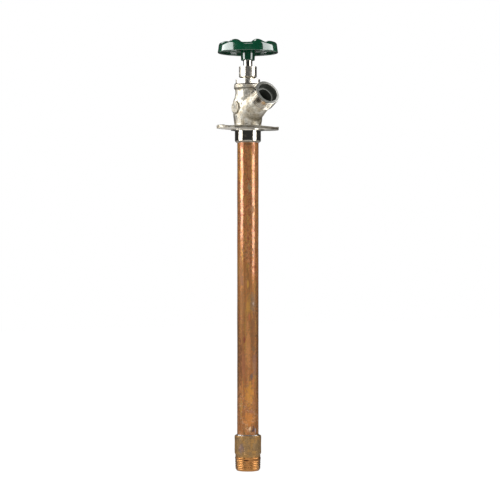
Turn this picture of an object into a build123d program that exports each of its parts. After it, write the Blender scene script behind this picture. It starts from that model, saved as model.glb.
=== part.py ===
from build123d import *
import os
from math import atan, cos, degrees, radians, sin, sqrt, tan

os.makedirs("parts", exist_ok=True)

# A frost-free wall hydrant. Z runs along the valve stem: the back of the screw ears is z = 0, the
# handwheel is above it, outdoors, and the inlet is below it, indoors. The screw ears lie along X
# and the hose outlet points to -Y and up. The valve is closed, as drawn.

# Clearances
running_gap = 0.05          # radial, between a turning or sliding piece and its bore
fixed_gap = 0.04            # radial, between two pieces that are fastened together
seat_gap = 0.05             # between the closed seat washer and the seat

# Casing tube: 3/4 in nominal water tube
tube_diameter = 22.225
tube_wall = 1.14
inlet_reach = 354.8         # back of the ears to the end of the inlet

# Flange of the casting
flange_width = 44.0
flange_length = 72.0
ear_radius = 12.0
flange_thickness = 2.9
wall_pad_diameter = 35.4
wall_pad_thickness = 1.2    # behind the ears
ear_lip_length = 3.0        # from the end of an ear
ear_lip_height = 0.8
screw_spacing = 53.0
screw_slot_width = 6.0
screw_slot_length = 8.6

# Collar of the casting, in the wall
rear_collar_diameter = 27.1
rear_collar_length = 13.6   # from the back of the ears
rear_collar_chamfer = 1.4
tube_socket_depth = 16.0

# Barrel of the casting
barrel_base_radius = 13.6
barrel_base_lean = 10.8     # degrees from upright
barrel_radius = 15.7
barrel_widest_z = 20.8
barrel_shoulder_radius = 15.1
barrel_shoulder_z = 29.8
neck_radius = 13.1
neck_start_z = 36.8
top_collar_radius = 14.5
top_collar_z = 42.0
top_collar_taper = 0.7      # height of the slope under the collar
body_top_z = 46.4
top_collar_round = 0.5
cast_round = 0.5
flange_round = 1.6
chamber_radius = 10.0
bonnet_socket_depth = 11.6
bonnet_socket_radius = 11.0

# Blank round badge on the side of the barrel
badge_radius = 6.8
badge_reach = 16.3
badge_root = 8.0            # from the stem axis, inside the barrel's wall
badge_z = 22.4
badge_round = 0.5

# Hose outlet: 3/4 in garden hose thread, 11.5 turns per inch
spout_elevation = 28.0
spout_start_z = 15.3
spout_reach = 43.8          # from the stem axis to the mouth
hose_thread_diameter = 26.95
hose_thread_pitch = 25.4 / 11.5
hose_thread_depth = 1.4
hose_thread_length = 14.0
spout_neck_radius = 11.5
spout_root_radius = 13.4
spout_root_reach = 4.0      # where the taper from root to neck starts
spout_blend = 3.0
outlet_bore_radius = 10.5
outlet_bore_depth = 9.5
outlet_passage_radius = 8.0

# Inlet adapter: 3/4 in tapered pipe thread outside, 1/2 in solder socket inside
adapter_diameter = 27.6
adapter_head_length = 18.7
adapter_round = 1.1
adapter_neck_radius = 13.05
adapter_chamfer = 1.1       # from the head down to the neck
adapter_neck_length = 4.2   # chamfer and neck
adapter_socket_depth = 14.0
pipe_thread_small_diameter = 26.0
pipe_thread_pitch = 25.4 / 14
pipe_thread_depth = 1.25
pipe_thread_half_taper = degrees(atan(1 / 32))
pipe_thread_length = 14.0
pipe_thread_chamfer = 1.0
adapter_chamber_radius = 10.0
seat_depth = 2.8            # the seat's rim below the end of the casing tube
seat_moat_depth = 1.4
seat_throat_radius = 5.6
seat_rim_radius = 7.0
solder_socket_radius = 7.975
solder_socket_depth = 13.0

# Solder rings
solder_ring_width = 1.1
inlet_solder_height = 1.3
body_solder_height = 0.65

# Bonnet
gasket_thickness = 0.8
bonnet_hex_flats = 25.0
bonnet_hex_height = 4.6
bonnet_hex_chamfer_low = 0.3
bonnet_hex_chamfer_high = 0.9
bonnet_neck_radius = 6.85
bonnet_neck_length = 6.2
bonnet_plug_length = 10.4
bonnet_phase = 53.6

# Packing nut and what it holds
nut_flats = 17.46
nut_gap = 1.4               # between the bonnet's hexagon and the nut
nut_height = 12.0
nut_top_wall = 1.6
nut_chamfer_low = 1.3
nut_chamfer_high = 0.6
nut_phase = 41.0
packing_washer_thickness = 0.8
packing_height = 3.4

# Stem
stem_diameter = 9.525
stem_screw_diameter = 12.7
stem_screw_length = 15.6
stem_lift = 6.35
stem_shank_radius = 5.6
stem_shank_length = 11.0
rod_diameter = 7.94
rod_socket_depth = 12.0
coupling_pin_diameter = 2.4
coupling_pin_height = 5.5   # above the stem's lower end
square_flats = 6.6

# Handwheel
handle_gap = 6.3            # between the packing nut and the hub
hub_radius = 7.4
hub_drop = 7.2              # the hub below the rim
hub_counterbore = 2.0
wheel_diameter = 63.0
wheel_top_diameter = 60.2
wheel_height = 8.2
rim_wall = 2.2
rim_wall_draft = 0.85       # the rim gets this much thicker up to the web
web_drop = 3.4              # the web's underside above the rim's lower edge
web_thickness = 3.1
rim_inner_radius = 17.0
dish_slope = 2.0
hub_top_rise = 1.5
lobe_count = 6
lobe_place = 22.0
lobe_radius = 6.7
lobe_rise = 4.4
lobe_wall = 2.4
handle_phase = 23.4
wheel_top_round = 1.4
wheel_edge_round = 0.6

# Handle screw
screw_radius = 2.35
screw_length = 11.0
screw_head_radius = 4.6
screw_head_height = 2.8
screw_head_round = 1.4
screw_slot = 1.1
screw_square_gap = 0.6      # the stem's square stops this far below the hub's top

# Rod guide
guide_length = 9.0
guide_depth = 160.0         # below the back of the ears
guide_flat_radius = 6.4
guide_flats = 3

# Seat washer holder
holder_skirt_radius = 8.4
holder_skirt_length = 6.2
holder_boss_radius = 6.6
holder_length = 15.6
washer_radius = 7.9
washer_thickness = 4.8
washer_pocket_depth = 3.6
rod_pocket_depth = 8.0
rod_end_gap = 0.1
ring_thickness = 1.0
ring_outer_radius = 4.9
ring_groove_radius = 3.2
ring_groove_play = 0.1
ring_inset = 1.5
ring_mouth = 70.0
washer_screw_radius = 1.9
washer_screw_length = 2.6   # into the holder
washer_screw_head_radius = 3.4
washer_screw_head_height = 1.8
washer_screw_head_round = 0.9

# Heights that follow from the sizes above
tube_radius = tube_diameter / 2
flange_top_z = flange_thickness
tube_top_z = tube_socket_depth - rear_collar_length
inlet_end_z = -inlet_reach
adapter_neck_z = inlet_end_z + pipe_thread_length
adapter_head_z = adapter_neck_z + adapter_neck_length
adapter_top_z = adapter_head_z + adapter_head_length
tube_end_z = adapter_top_z - adapter_socket_depth
seat_z = tube_end_z - seat_depth
bonnet_seat_z = body_top_z + gasket_thickness
bonnet_hex_top_z = bonnet_seat_z + bonnet_hex_height
bonnet_neck_top_z = bonnet_hex_top_z + bonnet_neck_length
nut_bottom_z = bonnet_hex_top_z + nut_gap
nut_top_z = nut_bottom_z + nut_height
hub_bottom_z = nut_top_z + handle_gap
rim_bottom_z = hub_bottom_z + hub_drop
rim_top_z = rim_bottom_z + wheel_height
web_bottom_z = rim_bottom_z + web_drop
web_top_z = web_bottom_z + web_thickness
hub_top_z = web_top_z + hub_top_rise
stem_screw_top_z = bonnet_hex_top_z - stem_lift - seat_gap
stem_shank_top_z = stem_screw_top_z - stem_screw_length
stem_bottom_z = stem_shank_top_z - stem_shank_length
square_bottom_z = hub_bottom_z + hub_counterbore
square_top_z = hub_top_z - screw_square_gap
washer_bottom_z = seat_z + seat_gap
washer_top_z = washer_bottom_z + washer_thickness
holder_bottom_z = washer_top_z - washer_pocket_depth
holder_top_z = holder_bottom_z + holder_length
rod_bottom_z = holder_top_z - rod_pocket_depth + rod_end_gap
rod_top_z = stem_bottom_z + rod_socket_depth
ring_bottom_z = holder_top_z - ring_inset - ring_thickness
ear_offset = flange_length / 2 - ear_radius
spout_direction = (0, -cos(radians(spout_elevation)), sin(radians(spout_elevation)))
spout = Plane(origin=(0, 0, spout_start_z), x_dir=(1, 0, 0), z_dir=spout_direction)
thread_start = spout_reach - hose_thread_length


def up(z):
    return Plane.XY.offset(z)


# Helical rib for an outside thread, running on by one turn past both ends, to be trimmed. Its foot
# is sunk a little below the root and leaves a narrow gap to the next turn.
def thread_rib(root_radius, depth, pitch, length, half_taper=0.0):
    sunk = 0.15
    crest = pitch / 8
    base = 0.47 * pitch
    with BuildPart() as rib:
        with BuildLine() as path:
            Helix(
                pitch=pitch,
                height=length + 2 * pitch,
                radius=root_radius,
                center=(0, 0, -pitch),
                cone_angle=-half_taper,
            )
        section = Plane(origin=path.line @ 0, x_dir=(1, 0, 0), z_dir=path.line % 0)
        with BuildSketch(section):
            with BuildLine():
                Polyline((-sunk, -base), (depth, -crest), (depth, crest), (-sunk, base), close=True)
            make_face()
        sweep(is_frenet=True)
    return rib.part


# Outline of the flange: a round middle with two round ears, joined by straight tangents
with BuildSketch() as flange_outline:
    with BuildSketch(mode=Mode.PRIVATE) as rounds:
        Circle(flange_width / 2)
        with Locations((-ear_offset, 0), (ear_offset, 0)):
            Circle(ear_radius)
    make_hull(rounds.sketch.edges())

# Hose thread, in the spout's own frame with the mouth up, cut off square by a wider cylinder
hose_root_radius = hose_thread_diameter / 2 - hose_thread_depth
with BuildPart() as hose_thread:
    add(thread_rib(hose_root_radius, hose_thread_depth, hose_thread_pitch, hose_thread_length))
    Cylinder(
        hose_thread_diameter,
        hose_thread_length,
        align=(Align.CENTER, Align.CENTER, Align.MIN),
        mode=Mode.INTERSECT,
    )

# Casting: flange, rear collar, barrel and hose outlet in one piece
with BuildPart() as body_casting:
    with BuildSketch(Plane.XZ):
        with BuildLine():
            side = Spline(
                (barrel_base_radius, flange_top_z),
                (barrel_radius, barrel_widest_z),
                (barrel_shoulder_radius, barrel_shoulder_z),
                (neck_radius, neck_start_z),
                tangents=[(tan(radians(barrel_base_lean)), 1), (0, 1)],
            )
            Polyline(
                side @ 1,
                (neck_radius, top_collar_z - top_collar_taper),
                (top_collar_radius, top_collar_z),
                (top_collar_radius, body_top_z),
                (0, body_top_z),
                (0, flange_top_z),
                side @ 0,
            )
        make_face()
    revolve(axis=Axis.Z)
    with BuildSketch(spout.offset(spout_root_reach)):
        Circle(spout_root_radius)
    with BuildSketch(spout.offset(thread_start)):
        Circle(spout_neck_radius)
    loft()
    blend_edges = [
        edge
        for edge in body_casting.edges().filter_by(GeomType.BSPLINE)
        if edge.length > 2 * spout_root_radius
    ]
    fillet(blend_edges, spout_blend)
    with BuildSketch(up(0)):
        add(flange_outline.sketch)
    extrude(amount=flange_thickness)
    with BuildSketch(up(-wall_pad_thickness)):
        Circle(wall_pad_diameter / 2)
    extrude(amount=wall_pad_thickness)
    with BuildSketch(up(flange_top_z)):
        add(flange_outline.sketch)
        Rectangle(flange_length - 2 * ear_lip_length, flange_width, mode=Mode.SUBTRACT)
    extrude(amount=ear_lip_height)
    with BuildSketch(up(-rear_collar_length)):
        Circle(rear_collar_diameter / 2)
    extrude(amount=rear_collar_length)
    chamfer(body_casting.faces().sort_by(Axis.Z)[0].edges(), rear_collar_chamfer)
    base_circles = (
        body_casting.edges()
        .filter_by(GeomType.CIRCLE)
        .filter_by_position(Axis.Z, flange_top_z - cast_round / 2, flange_top_z + cast_round / 2)
        .filter_by(lambda edge: abs(edge.radius - barrel_base_radius) < cast_round)
    )
    fillet(base_circles, flange_round)
    top_circles = (
        body_casting.edges()
        .filter_by(GeomType.CIRCLE)
        .filter_by(lambda edge: abs(edge.radius - top_collar_radius) < cast_round)
    )
    fillet(top_circles, top_collar_round)
    with BuildSketch(Plane.YZ.offset(-badge_reach)):
        with Locations((0, badge_z)):
            Circle(badge_radius)
    extrude(amount=badge_reach - badge_root)
    badge_circle = (
        body_casting.edges()
        .filter_by(GeomType.CIRCLE)
        .filter_by_position(Axis.X, -badge_reach - cast_round, -badge_reach + cast_round)
        .filter_by(lambda edge: abs(edge.radius - badge_radius) < cast_round)
    )
    fillet(badge_circle, badge_round)
    with BuildSketch(spout.offset(thread_start)):
        Circle(hose_root_radius)
    extrude(amount=hose_thread_length)
    add(spout.offset(thread_start) * hose_thread.part)
    with BuildSketch(up(tube_top_z)):
        Circle(chamber_radius)
    extrude(amount=body_top_z - tube_top_z, mode=Mode.SUBTRACT)
    with BuildSketch(up(-rear_collar_length)):
        Circle(tube_radius + fixed_gap)
    extrude(amount=tube_socket_depth, mode=Mode.SUBTRACT)
    with BuildSketch(up(body_top_z - bonnet_socket_depth)):
        Circle(bonnet_socket_radius)
    extrude(amount=bonnet_socket_depth, mode=Mode.SUBTRACT)
    with BuildSketch(spout):
        Circle(outlet_passage_radius)
    extrude(amount=spout_reach, mode=Mode.SUBTRACT)
    with BuildSketch(spout.offset(spout_reach - outlet_bore_depth)):
        Circle(outlet_bore_radius)
    extrude(amount=outlet_bore_depth, mode=Mode.SUBTRACT)
    with BuildSketch(up(0)):
        with GridLocations(screw_spacing, 0, 2, 1):
            SlotOverall(screw_slot_length, screw_slot_width)
    extrude(amount=flange_top_z + ear_lip_height, mode=Mode.SUBTRACT)
body_casting.part.label = "body_casting"

# Casing tube
with BuildPart() as casing_tube:
    with BuildSketch(up(tube_end_z)):
        Circle(tube_radius)
        Circle(tube_radius - tube_wall, mode=Mode.SUBTRACT)
    extrude(amount=tube_top_z - tube_end_z)
casing_tube.part.label = "casing_tube"


# Ring of solder round the tube, with a slanted outer side, against a face above or below it
def solder_ring(face_z, height):
    with BuildPart() as ring:
        with BuildSketch(Plane.XZ):
            with BuildLine():
                Polyline(
                    (tube_radius, face_z),
                    (tube_radius + solder_ring_width, face_z),
                    (tube_radius, face_z + height),
                    close=True,
                )
            make_face()
        revolve(axis=Axis.Z)
    return ring


body_solder_joint = solder_ring(-rear_collar_length, -body_solder_height)
body_solder_joint.part.label = "body_solder_joint"
inlet_solder_joint = solder_ring(adapter_top_z, inlet_solder_height)
inlet_solder_joint.part.label = "inlet_solder_joint"

# Inlet adapter with the valve seat. The thread is trimmed to a cone with a chamfered end.
pipe_small_radius = pipe_thread_small_diameter / 2
pipe_large_radius = pipe_small_radius + pipe_thread_length * tan(radians(pipe_thread_half_taper))
pipe_root_radius = pipe_small_radius - pipe_thread_depth
with BuildPart() as pipe_thread:
    add(
        thread_rib(
            pipe_root_radius,
            pipe_thread_depth,
            pipe_thread_pitch,
            pipe_thread_length,
            pipe_thread_half_taper,
        )
    )
    with BuildSketch(Plane.XZ):
        with BuildLine():
            Polyline(
                (0, 0),
                (pipe_small_radius - pipe_thread_chamfer, 0),
                (pipe_small_radius, pipe_thread_chamfer),
                (pipe_large_radius, pipe_thread_length),
                (0, pipe_thread_length),
                close=True,
            )
        make_face()
    revolve(axis=Axis.Z, mode=Mode.INTERSECT)

with BuildPart() as inlet_adapter:
    with BuildSketch(Plane.XZ):
        with BuildLine():
            Polyline(
                (0, inlet_end_z),
                (pipe_root_radius, inlet_end_z),
                (pipe_large_radius - pipe_thread_depth, adapter_neck_z),
                (adapter_neck_radius, adapter_neck_z),
                (adapter_neck_radius, adapter_head_z - adapter_chamfer),
                (adapter_diameter / 2, adapter_head_z),
                (adapter_diameter / 2, adapter_top_z),
                (0, adapter_top_z),
                close=True,
            )
        make_face()
    revolve(axis=Axis.Z)
    fillet(inlet_adapter.faces().sort_by(Axis.Z)[-1].edges(), adapter_round)
    add(up(inlet_end_z) * pipe_thread.part)
    with BuildSketch(up(tube_end_z)):
        Circle(tube_radius + fixed_gap)
    extrude(amount=adapter_socket_depth, mode=Mode.SUBTRACT)
    with BuildSketch(up(seat_z)):
        Circle(adapter_chamber_radius)
    extrude(amount=seat_depth, mode=Mode.SUBTRACT)
    with BuildSketch(up(seat_z - seat_moat_depth)):
        Circle(adapter_chamber_radius)
        Circle(seat_rim_radius, mode=Mode.SUBTRACT)
    extrude(amount=seat_moat_depth, mode=Mode.SUBTRACT)
    with BuildSketch(up(inlet_end_z)):
        Circle(seat_throat_radius)
    extrude(amount=seat_z - inlet_end_z, mode=Mode.SUBTRACT)
    with BuildSketch(up(inlet_end_z)):
        Circle(solder_socket_radius)
    extrude(amount=solder_socket_depth, mode=Mode.SUBTRACT)
inlet_adapter.part.label = "inlet_adapter"


# Hexagon with its corners turned off above and below, twice as wide as high
def hexagon(flats, bottom_z, height, phase, chamfer_low, chamfer_high):
    corner = flats / sqrt(3)
    inset = 2.0
    with BuildPart() as hexagon_part:
        with BuildSketch(up(bottom_z)):
            RegularPolygon(flats / 2, 6, major_radius=False, rotation=phase)
        extrude(amount=height)
        with BuildSketch(Plane.XZ):
            with BuildLine():
                Polyline(
                    (0, bottom_z),
                    (corner - inset * chamfer_low, bottom_z),
                    (corner, bottom_z + chamfer_low),
                    (corner, bottom_z + height - chamfer_high),
                    (corner - inset * chamfer_high, bottom_z + height),
                    (0, bottom_z + height),
                    close=True,
                )
            make_face()
        revolve(axis=Axis.Z, mode=Mode.INTERSECT)
    return hexagon_part.part


# Bonnet: a hexagon with a plug in the barrel below it and a neck for the packing nut above it
with BuildPart() as bonnet:
    add(
        hexagon(
            bonnet_hex_flats,
            bonnet_seat_z,
            bonnet_hex_height,
            bonnet_phase,
            bonnet_hex_chamfer_low,
            bonnet_hex_chamfer_high,
        )
    )
    with BuildSketch(up(bonnet_seat_z - bonnet_plug_length)):
        Circle(bonnet_socket_radius - fixed_gap)
    extrude(amount=bonnet_plug_length)
    with BuildSketch(up(bonnet_hex_top_z)):
        Circle(bonnet_neck_radius)
    extrude(amount=bonnet_neck_length)
    with BuildSketch(up(bonnet_seat_z - bonnet_plug_length)):
        Circle(stem_screw_diameter / 2 + running_gap)
    extrude(amount=bonnet_plug_length + bonnet_hex_height, mode=Mode.SUBTRACT)
    with BuildSketch(up(bonnet_hex_top_z)):
        Circle(stem_diameter / 2 + running_gap)
    extrude(amount=bonnet_neck_length, mode=Mode.SUBTRACT)
bonnet.part.label = "bonnet"


# Flat or tall ring from an inner to an outer radius
def ring(inner, outer, bottom_z, height):
    with BuildPart() as ring_part:
        with BuildSketch(up(bottom_z)):
            Circle(outer)
            Circle(inner, mode=Mode.SUBTRACT)
        extrude(amount=height)
    return ring_part


bonnet_gasket = ring(bonnet_socket_radius, top_collar_radius - top_collar_round, body_top_z, gasket_thickness)
bonnet_gasket.part.label = "bonnet_gasket"

packing_outer = bonnet_neck_radius
packing_z = bonnet_neck_top_z + packing_washer_thickness
gland_z = packing_z + packing_height
stem_bore = stem_diameter / 2 + running_gap
packing_washer = ring(stem_bore, packing_outer, bonnet_neck_top_z, packing_washer_thickness)
packing_washer.part.label = "packing_washer"
stem_packing = ring(stem_bore, packing_outer, packing_z, packing_height)
stem_packing.part.label = "stem_packing"
packing_gland = ring(stem_bore, packing_outer, gland_z, nut_top_z - nut_top_wall - gland_z)
packing_gland.part.label = "packing_gland"

# Packing nut
with BuildPart() as packing_nut:
    add(hexagon(nut_flats, nut_bottom_z, nut_height, nut_phase, nut_chamfer_low, nut_chamfer_high))
    with BuildSketch(up(nut_bottom_z)):
        Circle(bonnet_neck_radius + fixed_gap)
    extrude(amount=nut_height - nut_top_wall, mode=Mode.SUBTRACT)
    with BuildSketch(up(nut_bottom_z)):
        Circle(stem_bore)
    extrude(amount=nut_height, mode=Mode.SUBTRACT)
packing_nut.part.label = "packing_nut"

# Stem: a round rod with a square top for the wheel, the lifting screw and a socket for the rod
with BuildPart() as stem:
    with BuildSketch(up(stem_bottom_z)):
        Circle(stem_shank_radius)
    extrude(amount=stem_shank_length)
    with BuildSketch(up(stem_shank_top_z)):
        Circle(stem_screw_diameter / 2)
    extrude(amount=stem_screw_length)
    with BuildSketch(up(stem_screw_top_z)):
        Circle(stem_diameter / 2)
    extrude(amount=square_bottom_z - stem_screw_top_z)
    with BuildSketch(up(square_bottom_z)):
        Rectangle(square_flats, square_flats)
    extrude(amount=square_top_z - square_bottom_z)
    with BuildSketch(up(stem_bottom_z)):
        Circle(rod_diameter / 2 + fixed_gap)
    extrude(amount=rod_socket_depth, mode=Mode.SUBTRACT)
    with BuildSketch(up(hub_top_z - screw_length - rod_end_gap)):
        Circle(screw_radius + fixed_gap)
    extrude(amount=screw_length + rod_end_gap, mode=Mode.SUBTRACT)
    with BuildSketch(Plane.YZ):
        with Locations((0, stem_bottom_z + coupling_pin_height)):
            Circle(coupling_pin_diameter / 2)
    extrude(amount=stem_shank_radius, both=True, mode=Mode.SUBTRACT)
stem.part.label = "stem"

# Pin that joins the rod to the stem
with BuildPart() as coupling_pin:
    with BuildSketch(Plane.YZ):
        with Locations((0, stem_bottom_z + coupling_pin_height)):
            Circle(coupling_pin_diameter / 2 - fixed_gap)
    extrude(amount=stem_shank_radius - fixed_gap, both=True)
coupling_pin.part.label = "coupling_pin"

# Operating rod, with a groove near its lower end for the retaining ring
with BuildPart() as operating_rod:
    with BuildSketch(up(rod_bottom_z)):
        Circle(rod_diameter / 2)
    extrude(amount=rod_top_z - rod_bottom_z)
    with BuildSketch(up(ring_bottom_z - ring_groove_play)):
        Circle(rod_diameter / 2)
        Circle(ring_groove_radius, mode=Mode.SUBTRACT)
    extrude(amount=ring_thickness + 2 * ring_groove_play, mode=Mode.SUBTRACT)
    with BuildSketch(Plane.YZ):
        with Locations((0, stem_bottom_z + coupling_pin_height)):
            Circle(coupling_pin_diameter / 2)
    extrude(amount=stem_shank_radius, both=True, mode=Mode.SUBTRACT)
operating_rod.part.label = "operating_rod"

# Rod guide: a ring with three rounded wings that slide in the tube and let the water past
with BuildPart() as rod_guide:
    with BuildSketch(up(-guide_depth)):
        Circle(tube_radius - tube_wall - 2 * running_gap)
        with PolarLocations(guide_flat_radius, guide_flats):
            with Locations((tube_radius, 0)):
                Rectangle(2 * tube_radius, 2 * tube_diameter, mode=Mode.SUBTRACT)
        Circle(rod_diameter / 2 + fixed_gap, mode=Mode.SUBTRACT)
    extrude(amount=guide_length)
rod_guide.part.label = "rod_guide"

# Handwheel: a drafted rim, a web with a domed lobe above each of six hollows, and the hub
with BuildPart() as handle:
    with BuildSketch(Plane.XZ):
        with BuildLine():
            Polyline(
                (0, rim_bottom_z),
                (wheel_diameter / 2, rim_bottom_z),
                (wheel_top_diameter / 2, rim_top_z),
                (rim_inner_radius, rim_top_z),
                (rim_inner_radius - dish_slope, web_top_z),
                (0, web_top_z),
                close=True,
            )
        make_face()
    revolve(axis=Axis.Z)
    rim_edges = handle.edges().filter_by(GeomType.CIRCLE).group_by(SortBy.RADIUS)
    fillet(rim_edges[-2], wheel_top_round)
    rim_edges = handle.edges().filter_by(GeomType.CIRCLE).group_by(SortBy.RADIUS)
    fillet(rim_edges[-1], wheel_edge_round)
    lobe_z = rim_top_z + lobe_rise - lobe_radius
    with Locations((0, 0, lobe_z)):
        with PolarLocations(lobe_place, lobe_count, start_angle=handle_phase):
            Sphere(lobe_radius)
    with BuildSketch(Plane.XZ):
        with BuildLine():
            Polyline(
                (0, web_bottom_z),
                (wheel_diameter / 2 - rim_wall - rim_wall_draft, web_bottom_z),
                (wheel_diameter / 2 - rim_wall, rim_bottom_z),
                (wheel_diameter / 2 - rim_wall, rim_bottom_z - lobe_radius),
                (0, rim_bottom_z - lobe_radius),
                close=True,
            )
        make_face()
    revolve(axis=Axis.Z, mode=Mode.SUBTRACT)
    with Locations((0, 0, lobe_z)):
        with PolarLocations(lobe_place, lobe_count, start_angle=handle_phase):
            Sphere(lobe_radius - lobe_wall, mode=Mode.SUBTRACT)
    with BuildSketch(up(hub_bottom_z)):
        Circle(hub_radius)
    extrude(amount=hub_top_z - hub_bottom_z)
    with BuildSketch(up(hub_bottom_z)):
        Rectangle(square_flats + 2 * fixed_gap, square_flats + 2 * fixed_gap)
    extrude(amount=hub_top_z - hub_bottom_z, mode=Mode.SUBTRACT)
    with BuildSketch(up(hub_bottom_z)):
        Circle(stem_diameter / 2 + fixed_gap)
    extrude(amount=hub_counterbore, mode=Mode.SUBTRACT)
handle.part.label = "handle"

# Screw that holds the wheel on the stem
with BuildPart() as handle_screw:
    with BuildSketch(up(hub_top_z)):
        Circle(screw_head_radius)
    extrude(amount=screw_head_height)
    fillet(handle_screw.faces().sort_by(Axis.Z)[-1].edges(), screw_head_round)
    with BuildSketch(up(hub_top_z + screw_head_height - screw_slot)):
        Rectangle(2 * screw_head_radius, screw_slot)
    extrude(amount=screw_slot, mode=Mode.SUBTRACT)
    with BuildSketch(up(hub_top_z - screw_length)):
        Circle(screw_radius)
    extrude(amount=screw_length)
handle_screw.part.label = "handle_screw"

# Seat washer holder: the rod's end turns in its upper pocket, the washer sits in its lower one
with BuildPart() as washer_holder:
    with BuildSketch(up(holder_bottom_z)):
        Circle(holder_skirt_radius)
    extrude(amount=holder_skirt_length)
    with BuildSketch(up(holder_bottom_z)):
        Circle(holder_boss_radius)
    extrude(amount=holder_length)
    with BuildSketch(up(holder_top_z - rod_pocket_depth)):
        Circle(rod_diameter / 2 + running_gap)
    extrude(amount=rod_pocket_depth, mode=Mode.SUBTRACT)
    with BuildSketch(up(ring_bottom_z)):
        Circle(ring_outer_radius + fixed_gap)
    extrude(amount=ring_thickness, mode=Mode.SUBTRACT)
    with BuildSketch(up(holder_bottom_z)):
        Circle(washer_radius + fixed_gap)
    extrude(amount=washer_pocket_depth, mode=Mode.SUBTRACT)
    with BuildSketch(up(washer_top_z)):
        Circle(washer_screw_radius + fixed_gap)
    extrude(amount=washer_screw_length + fixed_gap, mode=Mode.SUBTRACT)
washer_holder.part.label = "washer_holder"

# Open retaining ring, in the holder's groove and round the rod's groove
with BuildPart() as retaining_ring:
    with BuildSketch(up(ring_bottom_z)):
        Circle(ring_outer_radius)
        Circle(ring_groove_radius + running_gap, mode=Mode.SUBTRACT)
        with BuildLine():
            ring_cut = 2 * ring_outer_radius
            mouth = radians(ring_mouth / 2)
            Polyline(
                (0, 0),
                (ring_cut * cos(mouth), ring_cut * sin(mouth)),
                (ring_cut * cos(mouth), -ring_cut * sin(mouth)),
                close=True,
            )
        make_face(mode=Mode.SUBTRACT)
    extrude(amount=ring_thickness)
retaining_ring.part.label = "retaining_ring"

seat_washer = ring(washer_screw_radius + fixed_gap, washer_radius, washer_bottom_z, washer_thickness)
seat_washer.part.label = "seat_washer"

# Screw that holds the seat washer
with BuildPart() as washer_screw:
    with BuildSketch(up(washer_bottom_z - washer_screw_head_height)):
        Circle(washer_screw_head_radius)
    extrude(amount=washer_screw_head_height)
    fillet(washer_screw.faces().sort_by(Axis.Z)[0].edges(), washer_screw_head_round)
    with BuildSketch(up(washer_bottom_z)):
        Circle(washer_screw_radius)
    extrude(amount=washer_thickness + washer_screw_length)
washer_screw.part.label = "washer_screw"

pieces = [
    body_casting,
    casing_tube,
    body_solder_joint,
    inlet_solder_joint,
    inlet_adapter,
    bonnet,
    bonnet_gasket,
    packing_washer,
    stem_packing,
    packing_gland,
    packing_nut,
    stem,
    coupling_pin,
    operating_rod,
    rod_guide,
    handle,
    handle_screw,
    washer_holder,
    retaining_ring,
    seat_washer,
    washer_screw,
]
for piece in pieces:
    export_step(piece.part, f"parts/{piece.part.label}.step")
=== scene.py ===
import math

import bmesh
import bpy
import numpy as np
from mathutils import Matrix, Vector


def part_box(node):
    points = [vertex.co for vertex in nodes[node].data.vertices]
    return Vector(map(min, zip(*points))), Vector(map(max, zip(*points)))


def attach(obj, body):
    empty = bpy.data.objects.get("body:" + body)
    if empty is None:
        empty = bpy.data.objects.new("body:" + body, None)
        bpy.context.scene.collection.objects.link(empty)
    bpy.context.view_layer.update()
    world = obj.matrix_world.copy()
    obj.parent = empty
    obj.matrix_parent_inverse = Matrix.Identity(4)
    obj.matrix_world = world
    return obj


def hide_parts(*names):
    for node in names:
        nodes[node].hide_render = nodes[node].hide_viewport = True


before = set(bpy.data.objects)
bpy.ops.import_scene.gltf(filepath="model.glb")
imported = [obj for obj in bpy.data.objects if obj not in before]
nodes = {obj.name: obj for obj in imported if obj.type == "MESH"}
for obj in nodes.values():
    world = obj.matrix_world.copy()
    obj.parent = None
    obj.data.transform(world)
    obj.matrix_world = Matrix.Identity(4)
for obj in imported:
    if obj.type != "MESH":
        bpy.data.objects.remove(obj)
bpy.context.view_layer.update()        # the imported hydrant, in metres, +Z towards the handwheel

mm = 0.001
print("frame loaded with", len(nodes), "nodes")


# Tools for objects and materials

def placeObject(name, data):
    thing = bpy.data.objects.new(name, data)
    bpy.context.scene.collection.objects.link(thing)
    return thing


def meshObject(name, points, faces):
    mesh = bpy.data.meshes.new(name)
    mesh.from_pydata(points, [], faces)
    return placeObject(name, mesh)


# The quads of a grid of points. A closed grid's last row and column join its first ones.
def gridFaces(rows, columns, closed):
    last = 0 if closed else 1
    row, column = np.meshgrid(np.arange(rows - last), np.arange(columns - last), indexing="ij")
    nextRow, nextColumn = (row + 1) % rows, (column + 1) % columns
    corners = [(row, column), (row, nextColumn), (nextRow, nextColumn), (nextRow, column)]
    return np.stack([i * columns + k for i, k in corners], axis=-1).reshape(-1, 4)


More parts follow.
